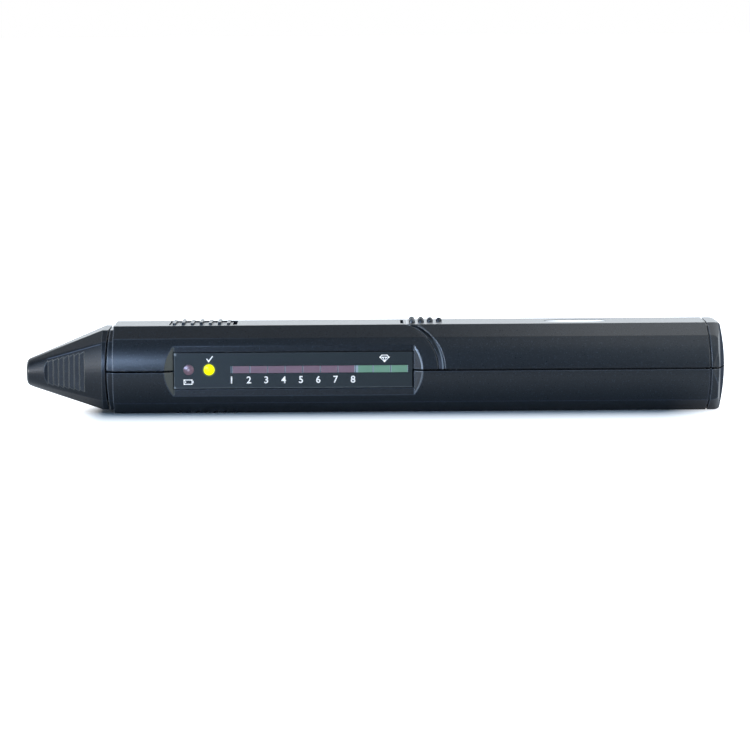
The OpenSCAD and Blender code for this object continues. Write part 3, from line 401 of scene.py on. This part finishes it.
def round_lamp_material(name, body, highlight_colour, x, glow, strength, coat, level):
    """A diffused lamp, lit or not, with a paler spot in the middle of its lens that is a painted
    highlight, and darker towards its rim.
    """
    s = Shader(name)
    r = s.radius(s.x, x, s.z, LAMP_Z)
    cloud = s.noise(0.5, 3.0)
    lens = s.math("LESS_THAN", s.y, FACE_Y + ROUND_LENS_T)
    centre_highlight = s.span(r, 0.12, 0.55, 1.0, 0.0, True)
    bright = tuple(min(1.0, 1.15 * c) for c in body)
    dim = tuple(0.8 * c for c in body)
    tint = s.mix(centre_highlight, s.mix(s.span(r, 0.2, LAMP_R), bright, dim), highlight_colour)
    tint = s.mix(s.times(cloud, 0.15), tint, tuple(0.6 * c for c in body))
    colour = s.mix(lens, LEG_COLOUR, tint)
    legs = s.math("SUBTRACT", 1.0, lens)
    shine = s.times(s.span(r, 0.9, LAMP_R, strength, 0.92 * strength), lens)
    return s.finish(Base_Color=colour, Metallic=s.times(legs, 0.9),
                    Roughness=s.span(cloud, 0.3, 0.7, 0.26, 0.34),
                    Coat_Weight=coat, Coat_Roughness=0.12, IOR=1.5, Specular_IOR_Level=level,
                    Normal=s.bump(cloud, 0.2, 0.01),
                    Emission_Color=glow, Emission_Strength=shine)


def bar_lamp_material(name, body, highlight_band, glint_width):
    """A diffused lamp with painted highlights: pale ends, and a pale band where the two colours
    meet.
    """
    s = Shader(name)
    along = s.math("DIVIDE", s.math("SUBTRACT", s.x, BAR_X0), BAR_PITCH)
    part = s.times(s.math("FRACT", along), BAR_PITCH)
    # The pale ends and the pale band are painted glints on the joins between the lamps
    left = s.span(part, glint_width, glint_width + 0.09, 1.0, 0.0)
    right = s.span(part, BAR_PITCH - glint_width - 0.04, BAR_PITCH - glint_width + 0.05)
    edge_glint = s.math("MAXIMUM", s.math("MAXIMUM", left, right), s.between(s.x, *highlight_band))
    lens = s.math("LESS_THAN", s.y, FACE_Y + BAR_LENS_T)
    cloud = s.noise(1.4, 3.0, 0.5, (0.5, 1, 1))
    tint = s.mix(cloud, tuple(0.88 * c for c in body), tuple(1.12 * c for c in body))
    tint = s.mix(s.times(edge_glint, 0.85), tint, (0.55, 0.62, 0.70))
    fine = s.noise(0.15, 2.0)
    return s.finish(Base_Color=s.mix(lens, LEG_COLOUR, tint),
                    Metallic=s.times(s.math("SUBTRACT", 1.0, lens), 0.9),
                    Roughness=s.span(fine, 0.3, 0.7, 0.30, 0.40),
                    Coat_Weight=0.25, Coat_Roughness=0.2, IOR=1.5,
                    Normal=s.bump(fine, 0.2, 0.005))


GREEN_X0 = BAR_X0 + RED_LAMPS * BAR_PITCH
red_bar = bar_lamp_material("red_lamp", (0.32, 0.175, 0.225), (GREEN_X0 - 0.30, GREEN_X0), 0.13)
green_bar = bar_lamp_material("green_lamp", (0.25, 0.47, 0.30), (GREEN_X0, GREEN_X0 + 0.80), 0.20)
# The third colour of each lamp is the painted highlight in its middle
low_lamp = round_lamp_material("low_lamp", (0.30, 0.16, 0.20), (0.75, 0.52, 0.58), LOW_LAMP_X,
                               (1.0, 0.3, 0.3), 0.0, 0.15, 0.4)
ready_lamp = round_lamp_material("yellow_lamp", (0.75, 0.72, 0.0), (0.98, 0.98, 0.02), READY_LAMP_X,
                                 (1.0, 1.0, 0.0), 1.15, 0.0, 0.12)

# Places inside the case
BOARD_TOP_Z = 11.1
PIN_PITCH = 2.54
HEATER_RING_X = (-80.5, -79.7)
CHIP_TOP_Z = 15.05
CHIP_BODY_Y = 3.21
CAPACITOR_TOP_Z = 17.65
RESISTOR_Y = (-6.72, -3.08)
TRIMMER_XY = (-3.4, -4.25)
TRIMMER_SCREW_Z = (16.0, 16.3)
BUZZER_XY = (-37.8, 6.18)
BUZZER_LID_Z = 19.4
SWITCH_SLOT_Y = 1.9
SWITCH_SLOT_Z = (18.2, 19.95)
BATTERY_X = (47.85, 93.3)
BATTERY_RING_X = 58.0

black_plastic = plain_plastic("black_plastic", (0.016, 0.017, 0.018), 0.45)
housing_plastic = plain_plastic("housing_plastic", (0.58, 0.55, 0.47), 0.42, 0.3)
screw_steel = metal("screw_steel", (0.55, 0.56, 0.57), (0.40, 0.40, 0.38), 0.28)
tube_steel = metal("tube_steel", (0.62, 0.62, 0.61), (0.46, 0.46, 0.45), 0.2, (0.15, 1, 1))
spring_steel = metal("spring_steel", (0.50, 0.50, 0.49), (0.34, 0.33, 0.31), 0.25)
copper = metal("copper", (0.78, 0.40, 0.25), (0.42, 0.22, 0.15), 0.28, (0.15, 1, 1), 0.8)
badge_metal = metal("badge_metal", (0.62, 0.64, 0.66), (0.52, 0.54, 0.56), 0.3, (0.1, 1, 1), 6.0)


def ceramic_material():
    """A pale sleeve with a dark ring of resistive paste."""
    s = Shader("ceramic")
    grain = s.noise(0.18, 3.0)
    colour = s.mix(grain, (0.74, 0.71, 0.64), (0.82, 0.80, 0.74))
    colour = s.mix(s.between(s.x, *HEATER_RING_X), colour, (0.10, 0.10, 0.11))
    return s.finish(Base_Color=colour, Roughness=s.span(grain, 0.3, 0.7, 0.5, 0.65),
                    Normal=s.bump(grain, 0.4, 0.01))


def chip_material(name, x, y, length):
    """Black epoxy with a notch and a dot at its first pin, and tinned pins at its sides."""
    s = Shader(name)
    end = x - length / 2
    pin = s.math("GREATER_THAN", s.math("ABSOLUTE", s.math("SUBTRACT", s.y, y)), CHIP_BODY_Y)
    notch = s.span(s.radius(s.x, end, s.y, y), 0.75, 0.85, 1.0, 0.0)
    dot = s.span(s.radius(s.x, end + 1.2, s.y, y - 2.0), 0.3, 0.38, 1.0, 0.0)
    mark = s.times(s.math("MAXIMUM", notch, dot), s.math("GREATER_THAN", s.z, CHIP_TOP_Z))
    grain = s.noise(0.12, 2.0, 0.6)
    body = s.mix(grain, (0.014, 0.014, 0.015), (0.026, 0.026, 0.027))
    body = s.mix(mark, body, (0.045, 0.045, 0.046))
    height = s.math("SUBTRACT", s.times(grain, 0.15), mark)
    return s.finish(Base_Color=s.mix(pin, body, TINNED), Metallic=pin,
                    Roughness=s.span(grain, 0.3, 0.7, 0.42, 0.55),
                    Normal=s.bump(height, 0.5, 0.08))


def capacitor_material():
    """A dark sleeve with a pale stripe down one side, and a bare can on top."""
    s = Shader("capacitor")
    top = s.times(s.math("GREATER_THAN", s.z, CAPACITOR_TOP_Z), s.math("GREATER_THAN", s.nz, 0.5))
    stripe = s.math("GREATER_THAN", s.nx, 0.88)
    dash = s.between(s.math("FRACT", s.math("DIVIDE", s.z, 1.7)), 0.3, 0.6)
    cloud = s.noise(0.8, 3.0)
    sleeve = s.mix(cloud, (0.010, 0.016, 0.055), (0.016, 0.024, 0.075))
    sleeve = s.mix(stripe, sleeve, s.mix(dash, (0.50, 0.55, 0.60), (0.02, 0.03, 0.07)))
    colour = s.mix(top, sleeve, (0.62, 0.63, 0.64))
    return s.finish(Base_Color=colour, Metallic=top,
                    Roughness=s.span(cloud, 0.3, 0.7, 0.26, 0.36),
                    Normal=s.bump(cloud, 0.2, 0.02))


def resistor_material():
    """A lacquered body with four colour bands, on tinned wires."""
    s = Shader("resistor")
    body = s.between(s.y, *RESISTOR_Y, 0.01)
    cloud = s.noise(0.4, 3.0)
    colour = s.mix(cloud, (0.46, 0.33, 0.19), (0.56, 0.42, 0.26))
    for start, tint in ((0.37, (0.12, 0.04, 0.02)), (0.97, (0.01, 0.01, 0.01)),
                        (1.57, (0.55, 0.10, 0.02)), (2.97, (0.50, 0.34, 0.06))):
        y0 = RESISTOR_Y[0] + start
        colour = s.mix(s.between(s.y, y0, y0 + 0.3), colour, tint)
    colour = s.mix(body, (0.60, 0.60, 0.58), colour)
    return s.finish(Base_Color=colour, Metallic=s.math("SUBTRACT", 1.0, body),
                    Roughness=s.span(cloud, 0.3, 0.7, 0.3, 0.42),
                    Normal=s.bump(cloud, 0.25, 0.02))


def trimmer_material():
    """A blue housing with a slotted brass screw in its recess."""
    s = Shader("blue_plastic")
    x, y = TRIMMER_XY
    screw = s.times(s.span(s.radius(s.x, x, s.y, y), 1.05, 1.1, 1.0, 0.0),
                    s.between(s.z, *TRIMMER_SCREW_Z))
    slot = s.times(screw, s.between(s.x, x - 0.2, x + 0.2, 0.03))
    grain = s.noise(0.2, 2.0)
    colour = s.mix(grain, (0.025, 0.11, 0.40), (0.035, 0.14, 0.48))
    colour = s.mix(screw, colour, (0.75, 0.56, 0.25))
    colour = s.mix(slot, colour, (0.10, 0.07, 0.03))
    height = s.math("SUBTRACT", s.times(grain, 0.1), slot)
    return s.finish(Base_Color=colour, Metallic=screw,
                    Roughness=s.span(grain, 0.3, 0.7, 0.35, 0.45),
                    Normal=s.bump(height, 0.5, 0.1))


def buzzer_material():
    """A black sounder with raised rings on its lid and a pale seal round its foot."""
    s = Shader("buzzer")
    r = s.radius(s.x, BUZZER_XY[0], s.y, BUZZER_XY[1])
    top = s.math("GREATER_THAN", s.z, BUZZER_LID_Z)
    wave = s.math("SINE", s.times(r, 5.2))
    rings = s.times(s.times(wave, top), s.span(r, 5.4, 5.7, 1.0, 0.0))
    grain = s.noise(0.25, 2.0)
    foot = s.between(s.z, BOARD_TOP_Z - 0.1, BOARD_TOP_Z + 0.8)
    colour = s.mix(grain, (0.013, 0.013, 0.014), (0.022, 0.022, 0.023))
    colour = s.mix(foot, colour, (0.16, 0.15, 0.12))
    height = s.math("ADD", s.times(grain, 0.1), s.times(rings, 0.5))
    return s.finish(Base_Color=colour, Roughness=s.span(grain, 0.3, 0.7, 0.4, 0.5),
                    Normal=s.bump(height, 0.6, 0.12))


def switch_material():
    """A tinned steel frame over a black base in its slot."""
    s = Shader("switch_steel")
    slot = s.times(s.math("LESS_THAN", s.math("ABSOLUTE", s.y), SWITCH_SLOT_Y),
                   s.between(s.z, *SWITCH_SLOT_Z, 0.01))
    film = s.span(s.noise(1.5, 4.0), 0.35, 0.7)
    scratches = s.noise(SCRATCH_SIZE, 2.0, 0.6, (0.2, 1, 1))
    colour = s.mix(film, (0.60, 0.61, 0.60), (0.46, 0.46, 0.44))
    colour = s.mix(slot, colour, (0.018, 0.018, 0.019))
    return s.finish(Base_Color=colour, Metallic=s.math("SUBTRACT", 1.0, slot),
                    Roughness=s.span(scratches, 0.3, 0.7, 0.24, 0.38),
                    Normal=s.bump(scratches, 0.3, 0.006))


def board_material():
    """Green lacquer over copper tracks, with the bare laminate at the edges."""
    s = Shader("board")
    side = s.math("LESS_THAN", s.math("ABSOLUTE", s.nz), 0.5)
    column = s.math("FRACT", s.math("DIVIDE", s.math("ADD", s.x, 200.0), PIN_PITCH))
    row = s.math("FRACT", s.math("DIVIDE", s.math("ADD", s.y, 200.0), PIN_PITCH))
    patch = s.noise(6.0, 0.0)
    across = s.times(s.between(column, 0.36, 0.64, 0.03), s.math("GREATER_THAN", patch, 0.52))
    along = s.times(s.between(row, 0.36, 0.64, 0.03), s.math("LESS_THAN", patch, 0.48))
    track = s.math("MAXIMUM", across, along)
    hole = s.radius(column, 0.5, row, 0.5)
    pad = s.times(s.span(hole, 0.26, 0.30, 1.0, 0.0),
                  s.math("LESS_THAN", s.noise(3.1, 0.0), 0.42))
    fibre = s.noise(0.2, 3.0)
    colour = s.mix(fibre, (0.010, 0.070, 0.028), (0.014, 0.085, 0.035))
    colour = s.mix(track, colour, (0.030, 0.150, 0.060))
    colour = s.mix(pad, colour, (0.55, 0.55, 0.52))
    colour = s.mix(side, colour, s.mix(fibre, (0.30, 0.27, 0.12), (0.40, 0.36, 0.17)))
    height = s.math("ADD", s.times(track, 0.5), pad)
    return s.finish(Base_Color=colour, Metallic=s.times(pad, s.math("SUBTRACT", 1.0, side)),
                    Roughness=s.span(fibre, 0.3, 0.7, 0.28, 0.4),
                    Normal=s.bump(height, 0.4, 0.05))


def battery_material():
    """A plain sleeve with two rings, crimped ends and plated terminals."""
    s = Shader("battery_can")
    x0, x1 = BATTERY_X
    terminal = s.math("LESS_THAN", s.x, x0)
    rim = s.math("MAXIMUM", s.math("LESS_THAN", s.x, x0 + 1.15), s.math("GREATER_THAN", s.x, x1))
    ring = s.math("MAXIMUM", s.between(s.x, BATTERY_RING_X, BATTERY_RING_X + 0.8),
                  s.between(s.x, BATTERY_RING_X + 2.0, BATTERY_RING_X + 2.4))
    cloud = s.noise(2.5, 4.0)
    sleeve = s.mix(cloud, (0.055, 0.085, 0.135), (0.070, 0.105, 0.160))
    sleeve = s.mix(s.math("LESS_THAN", s.x, BATTERY_RING_X), sleeve, (0.030, 0.032, 0.036))
    sleeve = s.mix(ring, sleeve, (0.62, 0.64, 0.66))
    colour = s.mix(rim, sleeve, (0.58, 0.59, 0.60))
    return s.finish(Base_Color=colour, Metallic=s.math("MAXIMUM", rim, terminal),
                    Roughness=s.span(cloud, 0.3, 0.7, 0.24, 0.34),
                    Normal=s.bump(cloud, 0.15, 0.03))


def wire_material(name, left, right):
    """Plastic insulation in two colours, one on each side, tinned at the solder joints."""
    s = Shader(name)
    solder = s.math("LESS_THAN", s.z, BOARD_TOP_Z + 0.6)
    grain = s.noise(0.5, 3.0)
    grime = tuple(0.3 * (a + b) for a, b in zip(left, right))
    colour = s.mix(s.math("GREATER_THAN", s.y, 0.0), left, right)
    colour = s.mix(s.times(grain, 0.3), colour, grime)
    return s.finish(Base_Color=s.mix(solder, colour, TINNED), Metallic=solder,
                    Roughness=s.span(grain, 0.3, 0.7, 0.35, 0.45),
                    Normal=s.bump(grain, 0.2, 0.02))


def foam_material():
    """Grey foam with open cells."""
    s = Shader("foam")
    cells = s.cells(0.55)
    fine = s.noise(0.2, 3.0)
    colour = s.mix(s.span(cells, 0.1, 0.7), (0.020, 0.020, 0.022), (0.085, 0.085, 0.088))
    height = s.math("ADD", s.times(cells, -1.0), s.times(fine, 0.4))
    return s.finish(Base_Color=colour, Roughness=0.92, Normal=s.bump(height, 1.0, 0.3),
                    Sheen_Weight=0.2, Sheen_Roughness=0.6)


def ink_material():
    """White ink, with a little emission so that it stays white in the dim recess."""
    s = Shader("white_print")
    grain = s.noise(0.08, 2.0)
    colour = s.mix(s.span(grain, 0.25, 0.6), (0.84, 0.86, 0.88), (0.93, 0.94, 0.95))
    return s.finish(Base_Color=colour, Roughness=s.span(grain, 0.3, 0.7, 0.45, 0.6),
                    Normal=s.bump(grain, 0.2, 0.003),
                    Emission_Color=(1.0, 1.0, 1.0), Emission_Strength=0.40)


finishes = {
    "lower_shell": case_plastic,
    "upper_shell": case_plastic,
    "battery_lid": case_plastic,
    "nose_cap": cap_plastic,
    "switch_knob": knob_plastic,
    "display_panel": panel_plastic,
    "low_battery_led": low_lamp,
    "ready_led": ready_lamp,
    "red_bar_leds": red_bar,
    "green_bar_leds": green_bar,
    "led_holder": black_plastic,
    "main_board": board_material(),
    "display_driver_chip": chip_material("driver_epoxy", x=-14.0, y=9.18, length=9 * PIN_PITCH),
    "amplifier_chip": chip_material("amplifier_epoxy", x=-11.0, y=-2.2, length=4 * PIN_PITCH),
    "capacitors": capacitor_material(),
    "resistors": resistor_material(),
    "trim_pot": trimmer_material(),
    "buzzer": buzzer_material(),
    "power_switch": switch_material(),
    "board_screws": screw_steel,
    "case_screws": screw_steel,
    "probe_housing": housing_plastic,
    "probe_sleeve": tube_steel,
    "probe_tip": copper,
    "tip_heater": ceramic_material(),
    "probe_spring": spring_steel,
    "housing_plug": black_plastic,
    "probe_leads": wire_material("pale_wire", (0.62, 0.55, 0.30), (0.70, 0.69, 0.65)),
    "oval_badge": badge_metal,
    "lid_foam": foam_material(),
    "battery": battery_material(),
    "battery_snap": black_plastic,
    "battery_leads": wire_material("wire", (0.014, 0.014, 0.015), (0.42, 0.018, 0.014)),
}
for name, material in finishes.items():
    for slot in nodes[name].material_slots:
        slot.material = material

# ---------------------------------------------------------------- print on the lamp panel

ink = ink_material()
PRINT_T = 0.03
PRINT_Y = FACE_Y - PRINT_T


def mesh_object(name, bm, material):
    mesh = bpy.data.meshes.new(name)
    bmesh.ops.recalc_face_normals(bm, faces=bm.faces)
    bm.to_mesh(mesh)
    bm.free()
    mesh.materials.append(material)
    made = bpy.data.objects.new(name, mesh)
    scene.collection.objects.link(made)
    return made


def thicken(bm):
    """Gives the flat faces the thickness of a print, down to the panel."""
    made = bmesh.ops.extrude_face_region(bm, geom=list(bm.faces))
    moved = [v for v in made["geom"] if isinstance(v, bmesh.types.BMVert)]
    bmesh.ops.translate(bm, verts=moved, vec=(0, PRINT_T * MM, 0))


def panel_digits(count, x0, pitch, z, height, weight):
    """The plain digits of a scale, from 1 up, standing upright on the panel."""
    bm = bmesh.new()
    for i in range(count):
        curve = bpy.data.curves.new("digit", "FONT")
        curve.body = str(i + 1)
        curve.align_x = "CENTER"
        curve.offset = weight
        holder = bpy.data.objects.new("digit", curve)
        scene.collection.objects.link(holder)
        bpy.context.view_layer.update()
        drawn = holder.evaluated_get(bpy.context.evaluated_depsgraph_get())
        mesh = bpy.data.meshes.new_from_object(drawn)
        bpy.data.objects.remove(holder)
        xs = [v.co.x for v in mesh.vertices]
        ys = [v.co.y for v in mesh.vertices]
        middle = (min(xs) + max(xs)) / 2
        low = min(ys)
        tall = max(ys) - low
        for v in mesh.vertices:
            v.co = Vector((
                (x0 + i * pitch + (v.co.x - middle) / tall * height) * MM,
                PRINT_Y * MM,
                (z + ((v.co.y - low) / tall - 0.5) * height) * MM,
            ))
        bm.from_mesh(mesh)
        bpy.data.meshes.remove(mesh)
        bpy.data.curves.remove(curve)
    thicken(bm)
    return mesh_object("panel_digits", bm, ink)


def panel_lines(name, x, z, rows, width):
    """Line figures on the panel: each row is a list of points and whether it closes."""
    bm = bmesh.new()
    for points, closed in rows:
        path = [Vector((x + px, z + pz)) for px, pz in points]
        count = len(path)
        for i in range(count if closed else count - 1):
            a, b = path[i], path[(i + 1) % count]
            along = (b - a).normalized() * (width / 2)
            side = Vector((-along.y, along.x))
            corners = [a - along + side, b + along + side, b + along - side, a - along - side]
            bm.faces.new([bm.verts.new((c.x * MM, PRINT_Y * MM, c.y * MM)) for c in corners])
    thicken(bm)
    return mesh_object(name, bm, ink)


digits = panel_digits(count=8, x0=-41.6, pitch=5.01, z=10.13, height=2.05, weight=0.018)
tick = panel_lines("ready_mark", -47.9, 16.15, [
    ([(-0.75, 0.05), (-0.25, -0.6), (0.8, 0.75)], False),
], 0.34)
cell = panel_lines("battery_mark", -54.0, 9.6, [
    ([(-1.3, -0.62), (1.0, -0.62), (1.0, 0.62), (-1.3, 0.62)], True),
    ([(1.32, -0.2), (1.32, 0.2)], False),
    ([(-0.85, -0.15), (-0.85, 0.15)], False),
], 0.24)
stone = panel_lines("stone_mark", 2.6, 16.1, [
    ([(-1.35, 0.35), (-0.75, 0.95), (0.75, 0.95), (1.35, 0.35), (0.0, -0.95)], True),
    ([(-1.3, 0.35), (1.3, 0.35)], False),
    ([(-0.5, 0.35), (0.0, -0.8), (0.5, 0.35)], False),
], 0.2)
for piece in (digits, tick, cell, stone):
    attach(piece, "case")

# ---------------------------------------------------------------- camera

TARGET = Vector((-0.159, 0.0, 9.806)) * MM
DISTANCE = 1177.09 * MM
ELEVATION = math.radians(5.327)
YAW = math.radians(0.073)
ROLL = math.radians(-0.385)

level_look = Vector((math.sin(YAW), math.cos(YAW), 0.0)) * math.cos(ELEVATION)
look = level_look - Vector((0.0, 0.0, math.sin(ELEVATION)))
camera_data = bpy.data.cameras.new("camera")
camera_data.sensor_width = 36.0
camera_data.lens = 193.09
camera_data.clip_start = 0.01
camera_data.clip_end = 50.0
camera = bpy.data.objects.new("camera", camera_data)
scene.collection.objects.link(camera)
turn = look.to_track_quat("-Z", "Y").to_matrix().to_4x4() @ Matrix.Rotation(ROLL, 4, "Z")
camera.matrix_world = Matrix.Translation(TARGET - look * DISTANCE) @ turn
scene.camera = camera

# ---------------------------------------------------------------- light


def softbox(name, place, aim, width, height, radiance, colour, mirrored_only=True):
    """A rectangular light that shows this radiance to what looks at it."""
    data = bpy.data.lights.new(name, "AREA")
    data.shape = "RECTANGLE"
    data.size = width
    data.size_y = height
    data.energy = radiance * 4.0 * width * height
    data.color = colour
    made = bpy.data.objects.new(name, data)
    scene.collection.objects.link(made)
    turned = (Vector(aim) - Vector(place)).to_track_quat("-Z", "Y").to_matrix().to_4x4()
    made.matrix_world = Matrix.Translation(place) @ turned
    made.visible_camera = False
    made.visible_diffuse = not mirrored_only


# Most boxes only show as reflections on the dark plastic. Diffuse light comes from the boxes
# behind and at the right side, and from the world
softbox("overhead_right", (0.41, -0.06, 0.36), (0.41, -0.06, 0.0), 0.70, 0.80,
        1.5, (0.93, 0.97, 1.0))
softbox("behind", (0.0, 0.55, 0.24), (0.0, 0.0, 0.02), 1.3, 0.48,
        0.9, (0.84, 0.92, 1.0), mirrored_only=False)
softbox("front_left", (-0.19, -0.27, 0.084), (-0.11, 0.0, 0.013), 0.20, 0.08,
        22.0, (0.50, 0.68, 1.0))
softbox("left_blue", (-0.33, -0.12, 0.09), (-0.09, 0.0, 0.013), 0.16, 0.16,
        2.4, (0.66, 0.80, 1.0))
softbox("left_grey", (-0.42, -0.28, 0.12), (0.0, -0.01, 0.013), 0.18, 0.24,
        2.3, (1.0, 0.99, 0.94))
softbox("left_end", (-0.60, -0.09, 0.05), (0.0, -0.017, 0.013), 0.20, 0.12,
        16.0, (1.0, 0.98, 0.96))
softbox("above_left", (-0.20, -0.07, 0.40), (-0.09, -0.01, 0.02), 0.30, 0.07,
        5.0, (0.66, 0.80, 1.0))
softbox("right_front", (0.33, -0.40, 0.12), (0.06, 0.0, 0.013), 0.36, 0.50,
        2.2, (0.90, 0.96, 1.0))
softbox("right_side", (0.55, -0.36, 0.16), (0.05, 0.0, 0.013), 0.22, 0.30,
        3.0, (1.0, 1.0, 0.90), mirrored_only=False)

world = bpy.data.worlds.new("studio")
scene.world = world
world.use_nodes = True
tree = world.node_tree
tree.nodes.clear()


def world_put(value, socket):
    if isinstance(value, bpy.types.NodeSocket):
        tree.links.new(value, socket)
    else:
        socket.default_value = rgba(value)


def world_math(operation, a, b):
    node = tree.nodes.new("ShaderNodeMath")
    node.operation = operation
    world_put(a, node.inputs[0])
    world_put(b, node.inputs[1])
    return node.outputs[0]


def world_times(a, b):
    return world_math("MULTIPLY", a, b)


def world_span(value, low, high, out_low, out_high):
    node = tree.nodes.new("ShaderNodeMapRange")
    node.interpolation_type = "SMOOTHSTEP"
    tree.links.new(value, node.inputs["Value"])
    for socket, number in zip(
        ("From Min", "From Max", "To Min", "To Max"), (low, high, out_low, out_high)
    ):
        node.inputs[socket].default_value = number
    return node.outputs["Result"]


def world_mix(factor, a, b):
    node = tree.nodes.new("ShaderNodeMix")
    node.data_type = "RGBA"
    tree.links.new(factor, node.inputs["Factor"])
    world_put(a, node.inputs[6])
    world_put(b, node.inputs[7])
    return node.outputs[2]


# Seen by the camera the backdrop is white. What the object mirrors is white low behind it,
# grey above it and to its right, and a dark blue around the camera. The light of the room
# comes from above and behind, with a dim cool light from the front.
aim = tree.nodes.new("ShaderNodeSeparateXYZ")
tree.links.new(tree.nodes.new("ShaderNodeTexCoord").outputs["Generated"], aim.inputs[0])
aim_x, aim_y, aim_z = aim.outputs
past = world_span(aim_y, -0.10, 0.30, 0.0, 1.0)
behind = world_times(past, world_span(aim_z, 0.15, 0.80, 1.0, 0.32))
beside = world_times(world_span(aim_x, 0.25, 0.85, 0.22, 0.80),
                     world_span(aim_z, 0.30, 0.80, 1.0, 0.4))
mirrored = world_math("MAXIMUM", behind, beside)
above = world_math("ADD", world_times(aim_z, 0.5), world_times(aim_y, 0.8))
ambient = world_span(above, -0.05, 0.90, 0.58, 1.50)
rays = tree.nodes.new("ShaderNodeLightPath")
gloss = rays.outputs["Is Glossy Ray"]
seen = world_math("MAXIMUM", rays.outputs["Is Camera Ray"], rays.outputs["Is Transmission Ray"])
unseen = world_math("SUBTRACT", 1.0, seen)
unseen_light = world_math("ADD", world_times(gloss, mirrored),
                          world_times(world_math("SUBTRACT", 1.0, gloss), ambient))
strength = world_math("ADD", seen, world_times(unseen, unseen_light))
hue = world_mix(world_span(above, -0.10, 0.45, 0.0, 1.0), (0.46, 0.70, 1.0), (0.93, 0.97, 1.0))
backdrop = tree.nodes.new("ShaderNodeBackground")
tree.links.new(world_mix(seen, hue, (1.0, 1.0, 1.0)), backdrop.inputs["Color"])
tree.links.new(strength, backdrop.inputs["Strength"])
world_out = tree.nodes.new("ShaderNodeOutputWorld")
tree.links.new(backdrop.outputs[0], world_out.inputs[0])


def plane(name, corners, material):
    bm = bmesh.new()
    bm.faces.new([bm.verts.new(c) for c in corners])
    return mesh_object(name, bm, material)


# Beyond these ends of the case, and this far from its axis, the floor turns white
FLOOR_X = (-77.0, 80.0)
WHITE_FROM = 16.0
WHITE_AT = 54.0


def floor_material():
    """A pale floor that keeps the shadow beside the object and is white further away."""
    s = Shader("floor")
    new = s.tree.nodes.new
    s.tree.nodes.remove(s.bsdf)
    speckle = s.noise(3.0, 3.0)
    diffuse = new("ShaderNodeBsdfDiffuse")
    s.link(s.mix(speckle, (0.74, 0.79, 0.84), (0.76, 0.81, 0.86)), diffuse.inputs["Color"])
    x0, x1 = FLOOR_X
    past_front = s.times(s.math("SUBTRACT", s.x, x0), -6.0)
    past_rear = s.times(s.math("SUBTRACT", s.x, x1), 2.5)
    past_end = s.math("MAXIMUM", past_front, s.math("MAXIMUM", past_rear, 0.0))
    white = s.span(s.radius(past_end, 0.0, s.y, 0.0), WHITE_FROM, WHITE_AT)
    rays = new("ShaderNodeLightPath")
    seen = s.math("MAXIMUM", rays.outputs["Is Camera Ray"], rays.outputs["Is Transmission Ray"])
    seen = s.math("MAXIMUM", seen, s.times(rays.outputs["Is Glossy Ray"], 0.4))
    lift = new("ShaderNodeEmission")
    lift.inputs["Color"].default_value = (1.0, 1.0, 1.0, 1.0)
    s.link(s.times(seen, white), lift.inputs["Strength"])
    both = new("ShaderNodeAddShader")
    s.link(diffuse.outputs[0], both.inputs[0])
    s.link(lift.outputs[0], both.inputs[1])
    s.link(both.outputs[0], s.out.inputs["Surface"])
    return s.material


def cloth_material():
    """Dark cloth, which only reflections show."""
    s = Shader("dark_cloth")
    weave = s.mix(s.noise(200.0), (0.02, 0.02, 0.025), (0.03, 0.03, 0.035))
    return s.finish(Base_Color=weave, Roughness=0.9)


# The floor is mirrored only close to the object: a dark cloth lies further in front, which
# the camera and the light don't see
CLOTH_Y = -0.075
CLOTH_Z = 0.001
floor = plane("floor", [(-6, -6, 0), (6, -6, 0), (6, 12, 0), (-6, 12, 0)], floor_material())
cloth = plane("dark_cloth", [
    (-2, -2, CLOTH_Z), (2, -2, CLOTH_Z), (2, CLOTH_Y, CLOTH_Z), (-2, CLOTH_Y, CLOTH_Z),
], cloth_material())
cloth.visible_camera = False
cloth.visible_diffuse = False
cloth.visible_shadow = False
